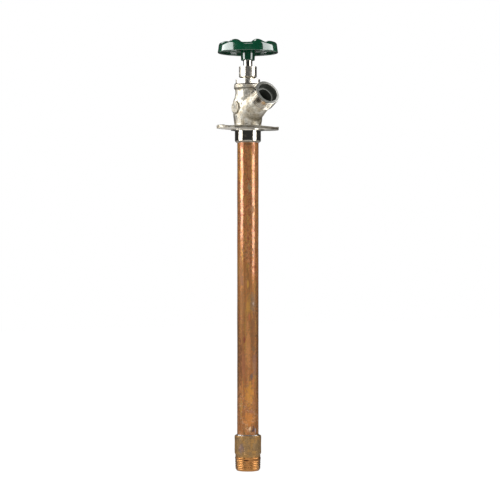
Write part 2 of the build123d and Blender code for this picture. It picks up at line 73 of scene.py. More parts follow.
# Writes nodes into one tree. An input is a value or another node's output.
class NodeTree:
    def __init__(self, tree):
        self.tree = tree

    def feed(self, socket, value):
        if isinstance(value, bpy.types.NodeSocket):
            self.tree.links.new(value, socket)
        elif socket.type == "RGBA":
            socket.default_value = (*value, 1)
        else:
            socket.default_value = value

    # Adds a node, sets its options and feeds its inputs
    def put(self, kind, inputs=None, **options):
        node = self.tree.nodes.new("ShaderNode" + kind)
        for option, value in options.items():
            setattr(node, option, value)
        for name, value in (inputs or {}).items():
            self.feed(node.inputs[name], value)
        return node

    def reckon(self, operation, *values):
        return self.put("Math", dict(enumerate(values)), operation=operation).outputs[0]

    def plus(self, a, b):
        return self.reckon("ADD", a, b)

    def times(self, a, b):
        return self.reckon("MULTIPLY", a, b)

    def larger(self, a, b):
        return self.reckon("MAXIMUM", a, b)

    def onVectors(self, operation, a, b):
        return self.put("VectorMath", {0: a, 1: b}, operation=operation)

    def mixed(self, share, a, b):
        return self.put("Mix", {"Factor": share, "A": a, "B": b}, data_type="RGBA").outputs["Result"]

    def ramped(self, value, low, high, first=0.0, last=1.0):
        inputs = {"Value": value, "From Min": low, "From Max": high, "To Min": first, "To Max": last}
        return self.put("MapRange", inputs, interpolation_type="SMOOTHSTEP").outputs["Result"]

    # From one value where a mask is 0 to another where it is 1
    def spread(self, mask, first, last):
        return self.ramped(mask, 0, 1, first, last)


finishes = {}            # the finished materials


# A material in the making: its shader, the Object coordinates and the colour so far
class Finish(NodeTree):
    def __init__(self, name, colour=None):
        self.name = name
        self.material = bpy.data.materials.new(name)
        self.material.use_nodes = True
        super().__init__(self.material.node_tree)
        self.shader = self.tree.nodes["Principled BSDF"]
        self.place = self.put("TexCoord").outputs["Object"]
        self.colour = colour

    def shade(self, inputs):
        for name, value in inputs.items():
            self.feed(self.shader.inputs[name], value)

    def axis(self, name):
        return self.put("SeparateXYZ", {0: self.place}).outputs[name]

    # A mask that the piece's points keep
    def mask(self, name):
        return self.put("Attribute", attribute_name=name).outputs["Fac"]

    # One of the shared effects below, with values for its inputs
    def effect(self, name, output="Mask", **inputs):
        node = self.put("Group", node_tree=effects[name])
        if "Place" in node.inputs:
            inputs["Place"] = self.place
        for socketName, value in inputs.items():
            self.feed(node.inputs[socketName], value)
        return node.outputs[output]

    def patches(self, **inputs):
        return self.effect("patches", **inputs)

    def tint(self, mask, colour, share=1):
        self.colour = self.mixed(mask if share == 1 else self.times(mask, share), self.colour, colour)

    # Feeds the colour, a bump and the other inputs to the shader
    def finish(self, height, distance, inputs):
        bump = self.put("Bump", {"Height": height, "Distance": distance, "Strength": 1.0})
        self.shade({"Base Color": self.colour, "Normal": bump.outputs["Normal"], **inputs})
        finishes[self.name] = self.material


# Camera and light

shot = {
    "azimuth": -32.0,        # degrees, where the camera stands round the stem axis
    "distance": 1.86,        # metres from the axis
    "height": -0.1255,       # level with the tube's upper third
    "aside": 0.0022,         # how far right of the axis the camera looks
    "lens": 128.7,
    "farthest": 30,
}


# Unit vector from the axis outwards, at an azimuth counted from the camera to its right
def outward(azimuth):
    angle = math.radians(shot["azimuth"] + azimuth)
    return Vector((math.sin(angle), -math.cos(angle), 0))


def placeCamera():
    data = bpy.data.cameras.new("photoCamera")
    data.lens = shot["lens"]
    data.clip_end = shot["farthest"]
    camera = placeObject("photoCamera", data)
    height = Vector((0, 0, shot["height"]))
    camera.location = outward(0) * shot["distance"] + height
    target = outward(90) * shot["aside"] + height
    camera.rotation_euler = (target - camera.location).to_track_quat("-Z", "Y").to_euler()
    bpy.context.scene.camera = camera


# Softboxes: first and last azimuth seen from the axis, lowest and highest point, radiance
softboxes = {
    "leftStrip": (-85, -54, -0.095, 0.40, 7.0),
    "rightStrip": (48, 76, -0.156, 0.40, 5.2),
    "leftBank": (-122, -60, 0.42, 1.12, 6.0),
    "rightBank": (62, 116, 0.42, 1.25, 5.0),
    "highBack": (-165, -110, 1.35, 2.30, 3.0),
    "highFront": (-16, 16, 0.95, 2.10, 3.0),
    "lowFront": (-30, 30, -0.78, -0.20, 1.1),
}

studio = {
    "softboxDistance": 1.5,
    "fill": 0.36,            # what the room gives to every side
    "floorHeight": -0.80,
    "floorHalf": 12.0,
    "floorColour": 0.62,
    "floorRoughness": 0.9,
    "floorGlow": 0.80,       # for the camera
    "floorGleam": 0.15,      # for reflections
    "tentRadius": 3.0,
    "tentFoot": -15,         # degrees
    "tentShade": 0.035,
    "tentColumns": 65,
    "tentRows": 25,
}


def placeSoftbox(name, first, last, low, high, radiance):
    data = bpy.data.lights.new(name, "AREA")
    data.shape = "RECTANGLE"
    data.size = 2 * studio["softboxDistance"] * math.tan(math.radians(last - first) / 2)
    data.size_y = high - low
    data.energy = radiance * math.pi * data.size * data.size_y
    lamp = placeObject(name, data)
    lamp.visible_camera = False
    side = outward((first + last) / 2)
    lamp.location = side * studio["softboxDistance"] + Vector((0, 0, (low + high) / 2))
    lamp.rotation_euler = side.to_track_quat("Z", "Y").to_euler()


# 1 for camera, glossy and transmission rays, 0 for diffuse and shadow rays
def seenBy(tree, rays):
    return tree.larger(tree.larger(rays["Is Camera Ray"], rays["Is Glossy Ray"]), rays["Is Transmission Ray"])


# White for the camera and for reflections, a soft even fill for the rest
def lightRoom():
    world = bpy.data.worlds.new("room")
    bpy.context.scene.world = world
    world.use_nodes = True
    room = NodeTree(world.node_tree)
    seen = seenBy(room, room.put("LightPath").outputs)
    colour = room.mixed(seen, (studio["fill"],) * 3, (1, 1, 1))
    room.feed(room.tree.nodes["Background"].inputs["Color"], colour)


def layFloor():
    half, z = studio["floorHalf"], studio["floorHeight"]
    corners = [(-half, -half, z), (half, -half, z), (half, half, z), (-half, half, z)]
    floor = meshObject("floor", corners, [(0, 1, 2, 3)])
    paleReflection = Finish("paleFloor")
    rays = paleReflection.put("LightPath").outputs
    gleam = paleReflection.times(seenBy(paleReflection, rays), studio["floorGleam"])
    extra = paleReflection.times(rays["Is Camera Ray"], studio["floorGlow"] - studio["floorGleam"])
    below = paleReflection.put("NewGeometry").outputs["Backfacing"]
    paleReflection.shade({
        "Base Color": (studio["floorColour"],) * 3,
        "Roughness": studio["floorRoughness"],
        "Specular IOR Level": 0,
        "Emission Color": (1, 1, 1),
        "Emission Strength": paleReflection.plus(gleam, extra),
        "Alpha": paleReflection.reckon("SUBTRACT", 1, below),      # seen from below, the floor isn't in the way
    })
    floor.data.materials.append(paleReflection.material)


# A dark tent all round the object, which only reflections see. It gives polished metal its dark bands.
def pitchTent():
    radius = studio["tentRadius"]
    azimuths = np.radians(shot["azimuth"] + np.linspace(-180, 180, studio["tentColumns"]))[:, None]
    elevations = np.radians(np.linspace(studio["tentFoot"], 90, studio["tentRows"]))[None, :]
    x = radius * np.sin(azimuths) * np.cos(elevations)
    y = -radius * np.cos(azimuths) * np.cos(elevations)
    z = radius * np.sin(elevations) + 0 * azimuths
    points = np.stack([x, y, z], axis=-1).reshape(-1, 3)
    tent = meshObject("darkTent", points.tolist(), gridFaces(*x.shape, closed=False).tolist())
    dark = Finish("darkTent")
    dark.tree.nodes.remove(dark.shader)
    shade = dark.put("Emission", {"Color": (studio["tentShade"],) * 3})
    dark.feed(dark.tree.nodes["Material Output"].inputs["Surface"], shade.outputs[0])
    tent.data.materials.append(dark.material)
    for ray in ("camera", "diffuse", "transmission", "volume_scatter", "shadow"):
        setattr(tent, "visible_" + ray, False)


bpy.context.scene.view_settings.view_transform = "Standard"
placeCamera()
for name, values in softboxes.items():
    placeSoftbox(name, *values)
lightRoom()
layFloor()
pitchTent()
print("camera and light placed")


# Surfaces

# Puts a grid of points, in millimetres, into a closed smooth mesh. Rows run round a section's
# outline, columns run round an axis, and both come back to their start.
def gridPiece(name, x, y, z):
    points = np.stack([x, y, z], axis=-1).reshape(-1, 3) * mm
    quads = gridFaces(*x.shape, closed=True)
    a, b, c, d = (points[quads[:, k]] for k in range(4))
    if np.sum(a * np.cross(b, c)) + np.sum(a * np.cross(c, d)) < 0:
        quads = quads[:, ::-1]       # faces point outwards
    piece = meshObject(name, points.tolist(), quads.tolist())
    piece.data.polygons.foreach_set("use_smooth", np.ones(len(quads), bool))
    return piece


# Closed outline through corners (radius, height, rounding). A rounded corner becomes an arc that
# touches both its sides, and every stretch is divided into steps no longer than step.
def roundedOutline(corners, step):
    nearlyStraight = math.radians(89)
    places = np.array([corner[:2] for corner in corners], float)
    path = []
    for i, (r, z, rounding) in enumerate(corners):
        here = places[i]
        back = places[i - 1] - here
        ahead = places[(i + 1) % len(places)] - here
        back /= np.linalg.norm(back)
        ahead /= np.linalg.norm(ahead)
        half = math.acos(np.clip(back @ ahead, -1, 1)) / 2
        if rounding == 0 or half > nearlyStraight:
            path.append(here[None])
            continue
        middle = (back + ahead) / np.linalg.norm(back + ahead)
        centre = here + middle * rounding / math.sin(half)
        first = here + back * rounding / math.tan(half) - centre
        start = math.atan2(first[1], first[0])
        turn = math.pi - 2 * half
        if back[0] * ahead[1] - back[1] * ahead[0] > 0:
            turn = -turn
        angles = start + turn * np.linspace(0, 1, max(3, int(abs(turn) * rounding / step) + 2))
        path.append(centre + rounding * np.stack([np.cos(angles), np.sin(angles)], axis=-1))
    path = np.concatenate(path)
    run = np.roll(path, -1, axis=0) - path
    parts = np.maximum(1, np.ceil(np.linalg.norm(run, axis=1) / step)).astype(int)
    index = np.repeat(np.arange(len(path)), parts)
    within = (np.arange(parts.sum()) - np.repeat(np.cumsum(parts) - parts, parts)) / parts[index]
    return path[index] + run[index] * within[:, None]


# Turns an outline round the Z axis, or round an axis that place(x, y, z) puts elsewhere. The part says how
# fine the mesh is, and reshape(radius, height, angle) may change radius and height.
def turned(name, part, corners, reshape=None, place=None):
    outline = roundedOutline(corners, part["step"])
    angle = np.linspace(0, 2 * math.pi, part["columns"], endpoint=False)[None, :]
    radius = outline[:, :1] + 0 * angle
    height = outline[:, 1:] + 0 * angle
    if reshape:
        radius, height = reshape(radius, height, angle)
    points = radius * np.cos(angle), radius * np.sin(angle), height
    return gridPiece(name, *(place(*points) if place else points))


# What a mesh keeps for each of its vertices or edges, one row for each
def valuesOf(items, name, width, kind=float):
    values = np.empty(len(items) * width, kind)
    items.foreach_get(name, values)
    return values.reshape(-1, width)


# A piece's points in millimetres
def pointsOf(piece):
    return valuesOf(piece.data.vertices, "co", 3).T / mm


# Keeps a mask, from 0 to 1, on a piece's points for its material
def keepMask(piece, name, values):
    mask = piece.data.attributes.new(name, "FLOAT", "POINT")
    mask.data.foreach_set("value", np.clip(values, 0, 1).astype(np.float32))


# The smaller or larger of two values, with the corner between them rounded over a width
def smoothMin(a, b, width):
    share = np.clip(0.5 + 0.5 * (b - a) / width, 0, 1)
    return b * (1 - share) + a * share - width * share * (1 - share)


def smoothMax(a, b, width):
    return -smoothMin(-a, -b, width)


# Sum of waves in random directions, all of about one wavelength, with a spread of about 1
def ripples(x, y, z, wavelength, seed):
    random = np.random.default_rng(seed)
    waves, slowest, quickest = 20, 0.7, 1.4
    direction = random.normal(size=(waves, 3))
    direction /= np.linalg.norm(direction, axis=1)[:, None]
    pace = 2 * math.pi / wavelength * random.uniform(slowest, quickest, waves)
    phase = random.uniform(0, 2 * math.pi, waves)
    total = 0
    for (a, b, c), quick, shift in zip(direction, pace, phase):
        total = total + np.cos(quick * (a * x + b * y + c * z) + shift)
    return total * math.sqrt(2 / waves)


# Thread with sloping flanks: how far it stands out, from 0 at the root to 1 at the crest. The crest's
# middle is where height / pitch - angle / 360 degrees + threadPhase is a whole number.
def threadShare(part, height, angle):
    turns = height / part["pitch"] - angle / (2 * math.pi) + part["threadPhase"]
    place = np.abs(np.mod(turns + 0.5, 1) - 0.5)
    share = np.clip((part["threadFoot"] - place) / (part["threadFoot"] - part["threadCrest"]), 0, 1)
    return share * share * (3 - 2 * share)


# Reshapes a turned part to a hexagon outside a radius: flats a little convex by bulge, and worn corners
def hexagonOutside(part, beyond):
    def reshape(radius, height, angle):
        third = math.pi / 3
        offset = np.mod(angle - math.radians(part["phase"]), third) - third / 2
        apothem, bulge, wear = part["flats"] / 2, part["bulge"], part["wear"]
        flat = apothem / ((1 - bulge) * np.cos(offset) + bulge)
        corner = apothem / ((1 - bulge) * math.cos(third / 2) + bulge)
        hexagon = smoothMin(flat, corner - wear, 2 * wear)
        cutRadius = smoothMin(radius, hexagon, part["soften"])
        return np.where(radius > beyond + part["soften"], cutRadius, radius), height

    return reshape


def millimetres(node):
    low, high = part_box(node)
    return low / mm, high / mm


# Handwheel

wheelLow = millimetres("handle")[0]
wheel = {
    "rimRadius": 31.5,
    "topRadius": 30.1,
    "rimBottom": 7.9,        # heights are above the hub's lower end
    "rimTop": 16.4,
    "rimWall": 2.2,
    "wallDraft": 0.15,
    "wallStep": 0.9,         # upper part of the inner wall, which leans in
    "webUnderside": 11.6,
    "webTop": 14.4,
    "dishRadius": 15.4,
    "dishSlope": 3.0,
    "hubRadius": 7.1,
    "hubDraft": 0.65,
    "hubTop": 15.2,
    "hubFoot": 1.5,          # how far the hub's upper part spreads below and draws in above
    "hubCrown": 0.5,
    "counterbore": 4.8,
    "counterboreDepth": 2.0,
    "square": 3.35,          # half of the stem's square, with its gap
    "lobes": 6,
    "lobePlace": 22.0,
    "lobeRadius": 6.7,
    "lobeHeight": 13.8,      # of the lobe's centre
    "lobeDraw": 0.72,        # the lobe is drawn out towards the rim
    "lobeFlank": 6,          # how steeply the ball's height falls off outside it
    "rimLift": 2.3,          # rise of the rim beside a lobe
    "rimLiftWidth": 6.5,
    "rimLiftStart": 3,       # height above the rim's bottom
    "lobeWall": 2.4,
    "lobeTurn": 23.4,        # degrees
    "blend": 1.5,
    "webStart": 1.0,         # the lobes shape the web from this far outside the hub
    "webEnd": 0.3,           # to this far inside the rim's top
    "webBand": 0.5,          # and within this height of its two sides
    "wallClear": 1.5,        # the hollows end this far inside the rim's wall
    "boreBand": 0.01,        # points this near the bore follow the stem's square
    "step": 0.4,             # the mesh: longest step along the outline, and points round the axis
    "columns": 384,
}


def wheelCorners():
    w = wheel
    inner = w["rimRadius"] - w["rimWall"]
    return [
        (w["square"], w["counterboreDepth"], 0),
        (w["counterbore"], w["counterboreDepth"], 0),
        (w["counterbore"], 0, 0.3),
        (w["hubRadius"], 0, 0.7),
        (w["hubRadius"] + w["hubDraft"], w["webUnderside"], 1.0),
        (inner - w["wallDraft"], w["webUnderside"], 0.4),
        (inner, w["webUnderside"] - w["wallStep"], 0.8),
        (inner, w["rimBottom"], 0.6),
        (w["rimRadius"], w["rimBottom"], 0.6),
        (w["topRadius"], w["rimTop"], 2.6),
        (w["dishRadius"] + w["dishSlope"], w["rimTop"], 1.5),
        (w["dishRadius"], w["webTop"], 1.5),
        (w["hubRadius"] + w["hubFoot"], w["webTop"], 1.0),
        (w["hubRadius"] - w["hubCrown"], w["hubTop"], 0.8),
        (w["square"], w["hubTop"], 0.2),
    ]


# The web gets a ball at each lobe: its upper side rises to the ball's top and its underside to a
# smaller ball inside. The bore follows the stem's square.
def wheelShape(radius, height, angle):
    w = wheel
    step = 2 * math.pi / w["lobes"]
    offset = np.mod(angle - math.radians(w["lobeTurn"]) + step / 2, step) - step / 2
    along = radius * np.cos(offset) - w["lobePlace"]
    across = radius * np.sin(offset)
    away = np.hypot(np.where(along > 0, along * w["lobeDraw"], along), across)
    ball = ballHeight(away, w["lobeRadius"])
    hollow = ballHeight(away, w["lobeRadius"] - w["lobeWall"])
    innermost = w["hubRadius"] + w["hubDraft"] + w["webStart"]
    onWeb = (radius > innermost) & (radius < w["topRadius"] - w["webEnd"])
    liftStart = w["rimBottom"] + w["rimLiftStart"]
    share = np.clip((height - liftStart) / (w["rimTop"] - liftStart), 0, 1)
    lift = w["rimLift"] * np.exp(-(across / w["rimLiftWidth"])**2) * share
    height = np.where(radius > w["dishRadius"] + w["dishSlope"] / 2, height + lift, height)
    above = onWeb & (height > w["webTop"] - w["webBand"])
    withinWall = radius < w["rimRadius"] - w["rimWall"] - w["wallClear"]
    below = onWeb & (height < w["webUnderside"] + w["webBand"]) & withinWall
    height = np.where(above, smoothMax(height, ball, w["blend"]), height)
    height = np.where(below, smoothMax(height, hollow, w["blend"] / 2), height)
    wall = w["square"] / np.maximum(np.abs(np.cos(angle)), np.abs(np.sin(angle)))
    radius = np.where(radius < w["square"] + w["boreBand"], wall, radius)
    return radius, height + wheelLow.z


def ballHeight(away, ballRadius):
    over = np.maximum(away - ballRadius, 0)
    return wheel["lobeHeight"] + np.sqrt(np.maximum(ballRadius**2 - away**2, 0)) - wheel["lobeFlank"] * over


handwheel = turned("handwheel", wheel, wheelCorners(), wheelShape)
print("handwheel made with", len(handwheel.data.polygons), "faces")


# Packing nut

nutLow, nutHigh = millimetres("packing_nut")
nut = {
    "flats": 18.0,
    "phase": 44.0,
    "bulge": 0.35,
    "wear": 0.30,
    "neckBore": 6.89,
    "stemBore": 4.81,
    "topWall": 1.6,
    "lowChamfer": 2.0,
    "highChamfer": 0.7,
    "slope": 1.5,            # a chamfer's width to its height
    "soften": 0.3,           # rounding where facets and chamfers meet
    "step": 0.3,
    "columns": 360,
}


def nutCorners():
    n = nut
    low, high = nutLow.z, nutHigh.z
    corner = n["flats"] / math.sqrt(3)
    return [
        (n["neckBore"], low, 0.15),
        (corner - n["slope"] * n["lowChamfer"], low, 0.25),
        (corner, low + n["lowChamfer"], 0.4),
        (corner, high - n["highChamfer"], 0.4),
        (corner - n["slope"] * n["highChamfer"], high, 0.3),
        (n["stemBore"], high, 0.25),
        (n["stemBore"], high - n["topWall"], 0),
        (n["neckBore"], high - n["topWall"], 0),
    ]


packingNut = turned("packingNut", nut, nutCorners(), hexagonOutside(nut, nut["neckBore"]))
print("packing nut made")


# Bonnet: hexagon, neck for the nut and plug in the barrel

bonnetLow, bonnetHigh = millimetres("bonnet")
bonnet = {
    "flats": 25.0,
    "phase": 53.6,
    "bulge": 0.12,
    "wear": 0.55,
    "plugLength": 10.4,
    "hexagonHeight": 4.6,
    "lowChamfer": 0.3,
    "highChamfer": 0.9,
    "slope": 2.0,
    "soften": 0.3,
    "plugRadius": 10.96,
    "neckRadius": 6.85,
    "screwBore": 6.4,
    "stemBore": 4.81,
    "step": 0.3,
    "columns": 420,
}


def bonnetCorners():
    b = bonnet
    low, high = bonnetLow.z, bonnetHigh.z
    seat = low + b["plugLength"]
    top = seat + b["hexagonHeight"]
    corner = b["flats"] / math.sqrt(3)
    return [
        (b["screwBore"], low, 0.1),
        (b["plugRadius"], low, 0.3),
        (b["plugRadius"], seat, 0.1),
        (corner - b["slope"] * b["lowChamfer"], seat, 0.1),
        (corner, seat + b["lowChamfer"], 0.1),
        (corner, top - b["highChamfer"], 0.4),
        (corner - b["slope"] * b["highChamfer"], top, 0.4),
        (b["neckRadius"], top, 0.3),
        (b["neckRadius"], high, 0.3),
        (b["stemBore"], high, 0.1),
        (b["stemBore"], top, 0),
        (b["screwBore"], top, 0),
    ]


hexagonBonnet = turned("hexagonBonnet", bonnet, bonnetCorners(), hexagonOutside(bonnet, bonnet["plugRadius"]))
print("bonnet made")


# Casting. The barrel, flange, badge and spout are one skin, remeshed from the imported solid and
# given the uneven surface of a sand casting. The hose thread and the rear collar are turned pieces.

castingLow, castingHigh = millimetres("body_casting")
spout = {
    "elevation": 28.0,       # degrees
    "start": 15.3,           # height of its axis on the stem axis
    "reach": 43.8,
    "threadLength": 14.0,
    "threadRadius": 13.475,
    "threadDepth": 1.4,
    "pitch": 25.4 / 11.5,
    "lead": 0.6,             # bevel at both ends of the thread
    "threadPhase": 0.37,
    "threadCrest": 0.13,     # half widths at crest and root, as shares of the pitch
    "threadFoot": 0.44,
    "soften": 0.15,          # rounding where crests and flanks meet
    "neckRadius": 11.5,
    "neckGap": 0.3,          # the turned piece is thinner inside the casting's neck
    "boreRadius": 10.5,
    "boreDepth": 6.9,
    "mouthBevel": 0.25,
    "mouthBevelDepth": 0.3,
    "passageRadius": 8.0,
    "passageStart": 4.0,     # on the spout's axis, where the painted shade inside starts
    "sunk": 0.9,             # how far the turned piece reaches into the casting
    "faceWidth": 0.7,        # bands of painted light and shade at the mouth
    "stepWidth": 0.6,
    "stepShare": 0.8,
    "stepPlace": 0.3,        # outside the passage
    "faceStart": 0.1,        # outside the bore
    "faceFade": 0.3,
    "darkStart": 0.5,        # painted shade starts this far inside the mouth
    "darkFade": 0.6,
    "step": 0.22,
    "columns": 288,
}
casting = {
    "cutBefore": 0.1,        # the skin ends this far before the hose thread
    "voxel": 0.56,
    "smoothing": 8,
    "swell": 0.05,           # height of the casting's long ripples
    "swellLength": 7.0,
    "grit": 0.016,
    "gritLength": 1.7,
    "machinedAbove": 41.6,   # the top collar is turned
    "rippleFade": 1.5,       # height over which the ripples die out below it
    "smoothBore": 12.5,      # no ripples inside this radius above the flange
    "flangeTop": 3.0,
    "badgeHeight": 22.4,
    "badgeRadius": 7.2,
    "badgeSide": -12.0,      # the groove lies left of this x
    "grooveWidth": 0.7,      # dark line round the badge
    "grooveDepth": 0.35,
    "chamberRadius": 12.3,   # painted shade inside this radius
    "chamberFront": -13.0,
    "chamberTop": 0.5,       # below the barrel's top
    "darkBeyond": 0.8,       # the passage gets painted shade to this far outside its radius
    "darkFade": 0.5,
    # Lines of painted shade under the top collar and above the flange: height, width and share
    "shadeLines": ((42.2, 0.8, 0.9), (3.5, 0.7, 0.8)),
    "shadeOutside": 13.0,    # radius
    "shadedEar": 19.0,        # from this x on, the flange's edge gets painted shade
    "earLevel": 1.2,
    "earBand": 1.5,
    "edgeShare": 0.8,        # of painted shade on the rest of the flange's edge
    "edgeRadius": 17.0,
    "edgeTop": 3.5,
    "edgeSlope": 0.6,        # an edge's normal rises or falls no more than this
    "edgeEnd": -24.0,        # the left ear's end gets no painted shade
    "underside": 0.6,        # height below which the flange gets a painted pale reflection on its underside
    "undersideSlope": -0.5,
}
tilt = math.radians(spout["elevation"])
spoutAxis = np.array([0, -math.cos(tilt), math.sin(tilt)])
spoutUp = np.array([0, spoutAxis[2], -spoutAxis[1]])
threadStart = spout["reach"] - spout["threadLength"]


# Puts a point of the spout's own frame, its axis pointing out, into the hydrant's frame
def onSpout(x, y, z):
    return x, y * spoutUp[1] + z * spoutAxis[1], y * spoutUp[2] + z * spoutAxis[2] + spout["start"]


# A piece's points as distance along the spout's axis and radius round it
def fromSpout(piece):
    x, y, z = pointsOf(piece)
    z = z - spout["start"]
    across, along = y * spoutUp[1] + z * spoutUp[2], y * spoutAxis[1] + z * spoutAxis[2]
    return along, np.hypot(x, across)


# Cuts a mesh along a plane, drops what lies beyond it and closes the cut
def cutOff(mesh, point, normal):
    parts = mesh.verts[:] + mesh.edges[:] + mesh.faces[:]
    cut = bmesh.ops.bisect_plane(
        mesh, geom=parts, plane_co=Vector(point) * mm, plane_no=Vector(normal), dist=1e-7, clear_outer=True)
    rim = [part for part in cut["geom_cut"] if isinstance(part, bmesh.types.BMEdge)]
    bmesh.ops.triangle_fill(mesh, edges=rim, use_beauty=True)


# Even skin of small squares over a mesh
def remeshed(name, mesh, voxel):
    rough = placeObject(name, mesh)
    remesh = rough.modifiers.new("remesh", "REMESH")
    remesh.mode = "VOXEL"
    remesh.voxel_size = voxel * mm
    shaped = bpy.data.meshes.new_from_object(rough.evaluated_get(bpy.context.evaluated_depsgraph_get()))
    bpy.data.objects.remove(rough)
    return shaped


# Smooths points by turns towards and away from the mean of their neighbours, which keeps the size
def relax(points, edges, rounds):
    towards, away = 0.5, -0.52
    count = np.bincount(edges.ravel(), minlength=len(points))[:, None]
    for step in [towards, away] * rounds:
        total = np.zeros_like(points)
        for k in range(3):
            total[:, k] = (np.bincount(edges[:, 0], points[edges[:, 1], k], len(points))
                           + np.bincount(edges[:, 1], points[edges[:, 0], k], len(points)))
        points = points + step * (total / count - points)
    return points


def makeCasting():
    c = casting
    mesh = bmesh.new()
    mesh.from_mesh(nodes["body_casting"].data)
    bmesh.ops.remove_doubles(mesh, verts=mesh.verts, dist=1e-6)
    cutOff(mesh, (0, 0, 0), (0, 0, -1))
    cutOff(mesh, Vector(onSpout(0, 0, threadStart - c["cutBefore"])), spoutAxis)
    merged = bpy.data.meshes.new("castMerged")
    mesh.to_mesh(merged)
    mesh.free()
    skin = remeshed("castSkin", merged, c["voxel"])

    points = valuesOf(skin.vertices, "co", 3) / mm
    points = relax(points, valuesOf(skin.edges, "vertices", 2, int), c["smoothing"])
    skin.vertices.foreach_set("co", (points * mm).ravel())
    skin.update()

    # Two sets of waves stand for the mould's sand. They die out on the turned and flat seats.
    x, y, z = points.T
    uneven = c["swell"] * ripples(x, y, z, c["swellLength"], seed=3)
    uneven = uneven + c["grit"] * ripples(x, y, z, c["gritLength"], seed=5)
    rough = np.clip((c["machinedAbove"] - z) / c["rippleFade"], 0, 1) * np.clip(z, 0, 1)
    bore = np.hypot(x, y) < c["smoothBore"]
    uneven = np.where(bore & (z > c["flangeTop"]), 0, uneven * rough)

    # A narrow groove round the foot of the badge
    badgeAway = np.hypot(y, z - c["badgeHeight"])
    groove = np.exp(-((badgeAway - c["badgeRadius"]) / c["grooveWidth"])**2) * (x < c["badgeSide"])
    uneven = uneven - c["grooveDepth"] * groove
    points = points + valuesOf(skin.vertices, "normal", 3) * uneven[:, None]
    skin.vertices.foreach_set("co", (points * mm).ravel())
    skin.polygons.foreach_set("use_smooth", np.ones(len(skin.polygons), bool))
    skin.update()
    return placeObject("castBody", skin)


# Where the casting gets painted shade inside, along lines and on the flange's edge, and a painted pale
# reflection underneath
def markCasting(piece):
    c = casting
    x, y, z = pointsOf(piece)
    radius = np.hypot(x, y)
    upwards = valuesOf(piece.data.vertices, "normal", 3)[:, 2]
    along, away = fromSpout(piece)
    # Painted shade inside the passage and the barrel's chamber
    passage = (along > spout["passageStart"]) * (spout["passageRadius"] + c["darkBeyond"] - away)
    chamber = (radius < c["chamberRadius"]) * (z > c["flangeTop"]) * (z < castingHigh.z - c["chamberTop"])
    keepMask(piece, "inside", np.maximum(passage / c["darkFade"], 1.0 * chamber * (y > c["chamberFront"])))
    # Painted shade: lines under the top collar and above the flange, a band on the right ear, and the
    # flange's edge
    paintedShade = sum(share * np.exp(-((z - level) / width)**2) for level, width, share in c["shadeLines"])
    paintedShade = np.where(x > c["shadedEar"], np.exp(-((z - c["earLevel"]) / c["earBand"])**4), paintedShade)
    onFlange = (radius > c["edgeRadius"]) * (z < c["edgeTop"]) * (x > c["edgeEnd"])
    paintedShade = np.maximum(paintedShade, c["edgeShare"] * onFlange * (np.abs(upwards) < c["edgeSlope"]))
    keepMask(piece, "paintedShade", paintedShade * (radius > c["shadeOutside"]))
    # painted pale reflection on the flange's underside
    keepMask(piece, "underReflection", (z < c["underside"]) * (upwards < c["undersideSlope"]))


castBody = makeCasting()
markCasting(castBody)
print("casting made with", len(castBody.data.polygons), "faces")


def hoseCorners():
    s = spout
    root = s["threadRadius"] - s["threadDepth"]
    foot = threadStart - s["sunk"]
    neck = s["neckRadius"] - s["neckGap"]
    shoulder = s["reach"] - s["boreDepth"]
    return [
        (s["passageRadius"], foot, 0),
        (neck, foot, 0),
        (neck, threadStart, 0),
        (root, threadStart, 0.1),
        (s["threadRadius"], threadStart + 2 * s["lead"], 0.2),
        (s["threadRadius"], s["reach"] - s["lead"], 0.2),
        (s["threadRadius"] - s["lead"], s["reach"], 0.25),
        (s["boreRadius"] + s["mouthBevel"], s["reach"], 0.1),
        (s["boreRadius"], s["reach"] - s["mouthBevelDepth"], 0.1),
        (s["boreRadius"], shoulder, 0.3),
        (s["passageRadius"], shoulder, 0.3),
    ]


# The radius is the outline's or the thread's, whichever is smaller
def hoseShape(radius, height, angle):
    s = spout
    root = s["threadRadius"] - s["threadDepth"]
    ridge = root + s["threadDepth"] * threadShare(s, height - threadStart, angle)
    onThread = (radius > root) & (height > threadStart)
    return np.where(onThread, smoothMin(radius, ridge, s["soften"]), radius), height


# Painted shade inside, a painted highlight on the step at the bore's end, the face, and how far the thread
# stands out
def markHoseThread(piece):
    s = spout
    along, away = fromSpout(piece)
    beyondBore = away > s["boreRadius"] + s["faceStart"]
    keepMask(piece, "inside", ~beyondBore * (s["reach"] - s["darkStart"] - along) / s["darkFade"])
    keepMask(piece, "mouth", beyondBore * (along - s["reach"] + s["faceWidth"]) / s["faceFade"])
    # painted highlight on the step at the bore's end
    step = np.exp(-((away - s["passageRadius"] - s["stepPlace"]) / s["stepWidth"])**2)
    keepMask(piece, "step", s["stepShare"] * step * (along > s["reach"] - s["boreDepth"] - s["stepWidth"]))
    ridge = (away - s["threadRadius"] + s["threadDepth"]) / s["threadDepth"]
    keepMask(piece, "ridge", np.where(away > s["neckRadius"], ridge, 1))


hoseThread = turned("hoseThread", spout, hoseCorners(), hoseShape, onSpout)
markHoseThread(hoseThread)

collar = {
    "radius": 13.55,
    "chamfer": 1.4,
    "bore": 11.15,
    "padRadius": 17.7,
    "padThickness": 1.2,
    "sunk": 0.4,
    "shadeHeight": 1.6,       # painted shade reaches this far above the collar's lower end
    "shadeFade": 0.5,
    "step": 0.3,
    "columns": 240,
}


def collarCorners():
    c = collar
    return [
        (c["bore"], castingLow.z, 0.1),
        (c["radius"] - c["chamfer"], castingLow.z, 0.35),
        (c["radius"], castingLow.z + c["chamfer"], 0.5),
        (c["radius"], -c["padThickness"], 0.25),
        (c["padRadius"], -c["padThickness"], 0.3),
        (c["padRadius"], c["sunk"], 0),
        (c["bore"], c["sunk"], 0),
    ]


rearCollar = turned("rearCollar", collar, collarCorners())
# Painted shade on the collar's lower end, next to the tube
shadeTop = castingLow.z + collar["shadeHeight"]
keepMask(rearCollar, "paintedShade", (shadeTop - pointsOf(rearCollar)[2]) / collar["shadeFade"])
print("hose thread and rear collar made")


# Casing tube

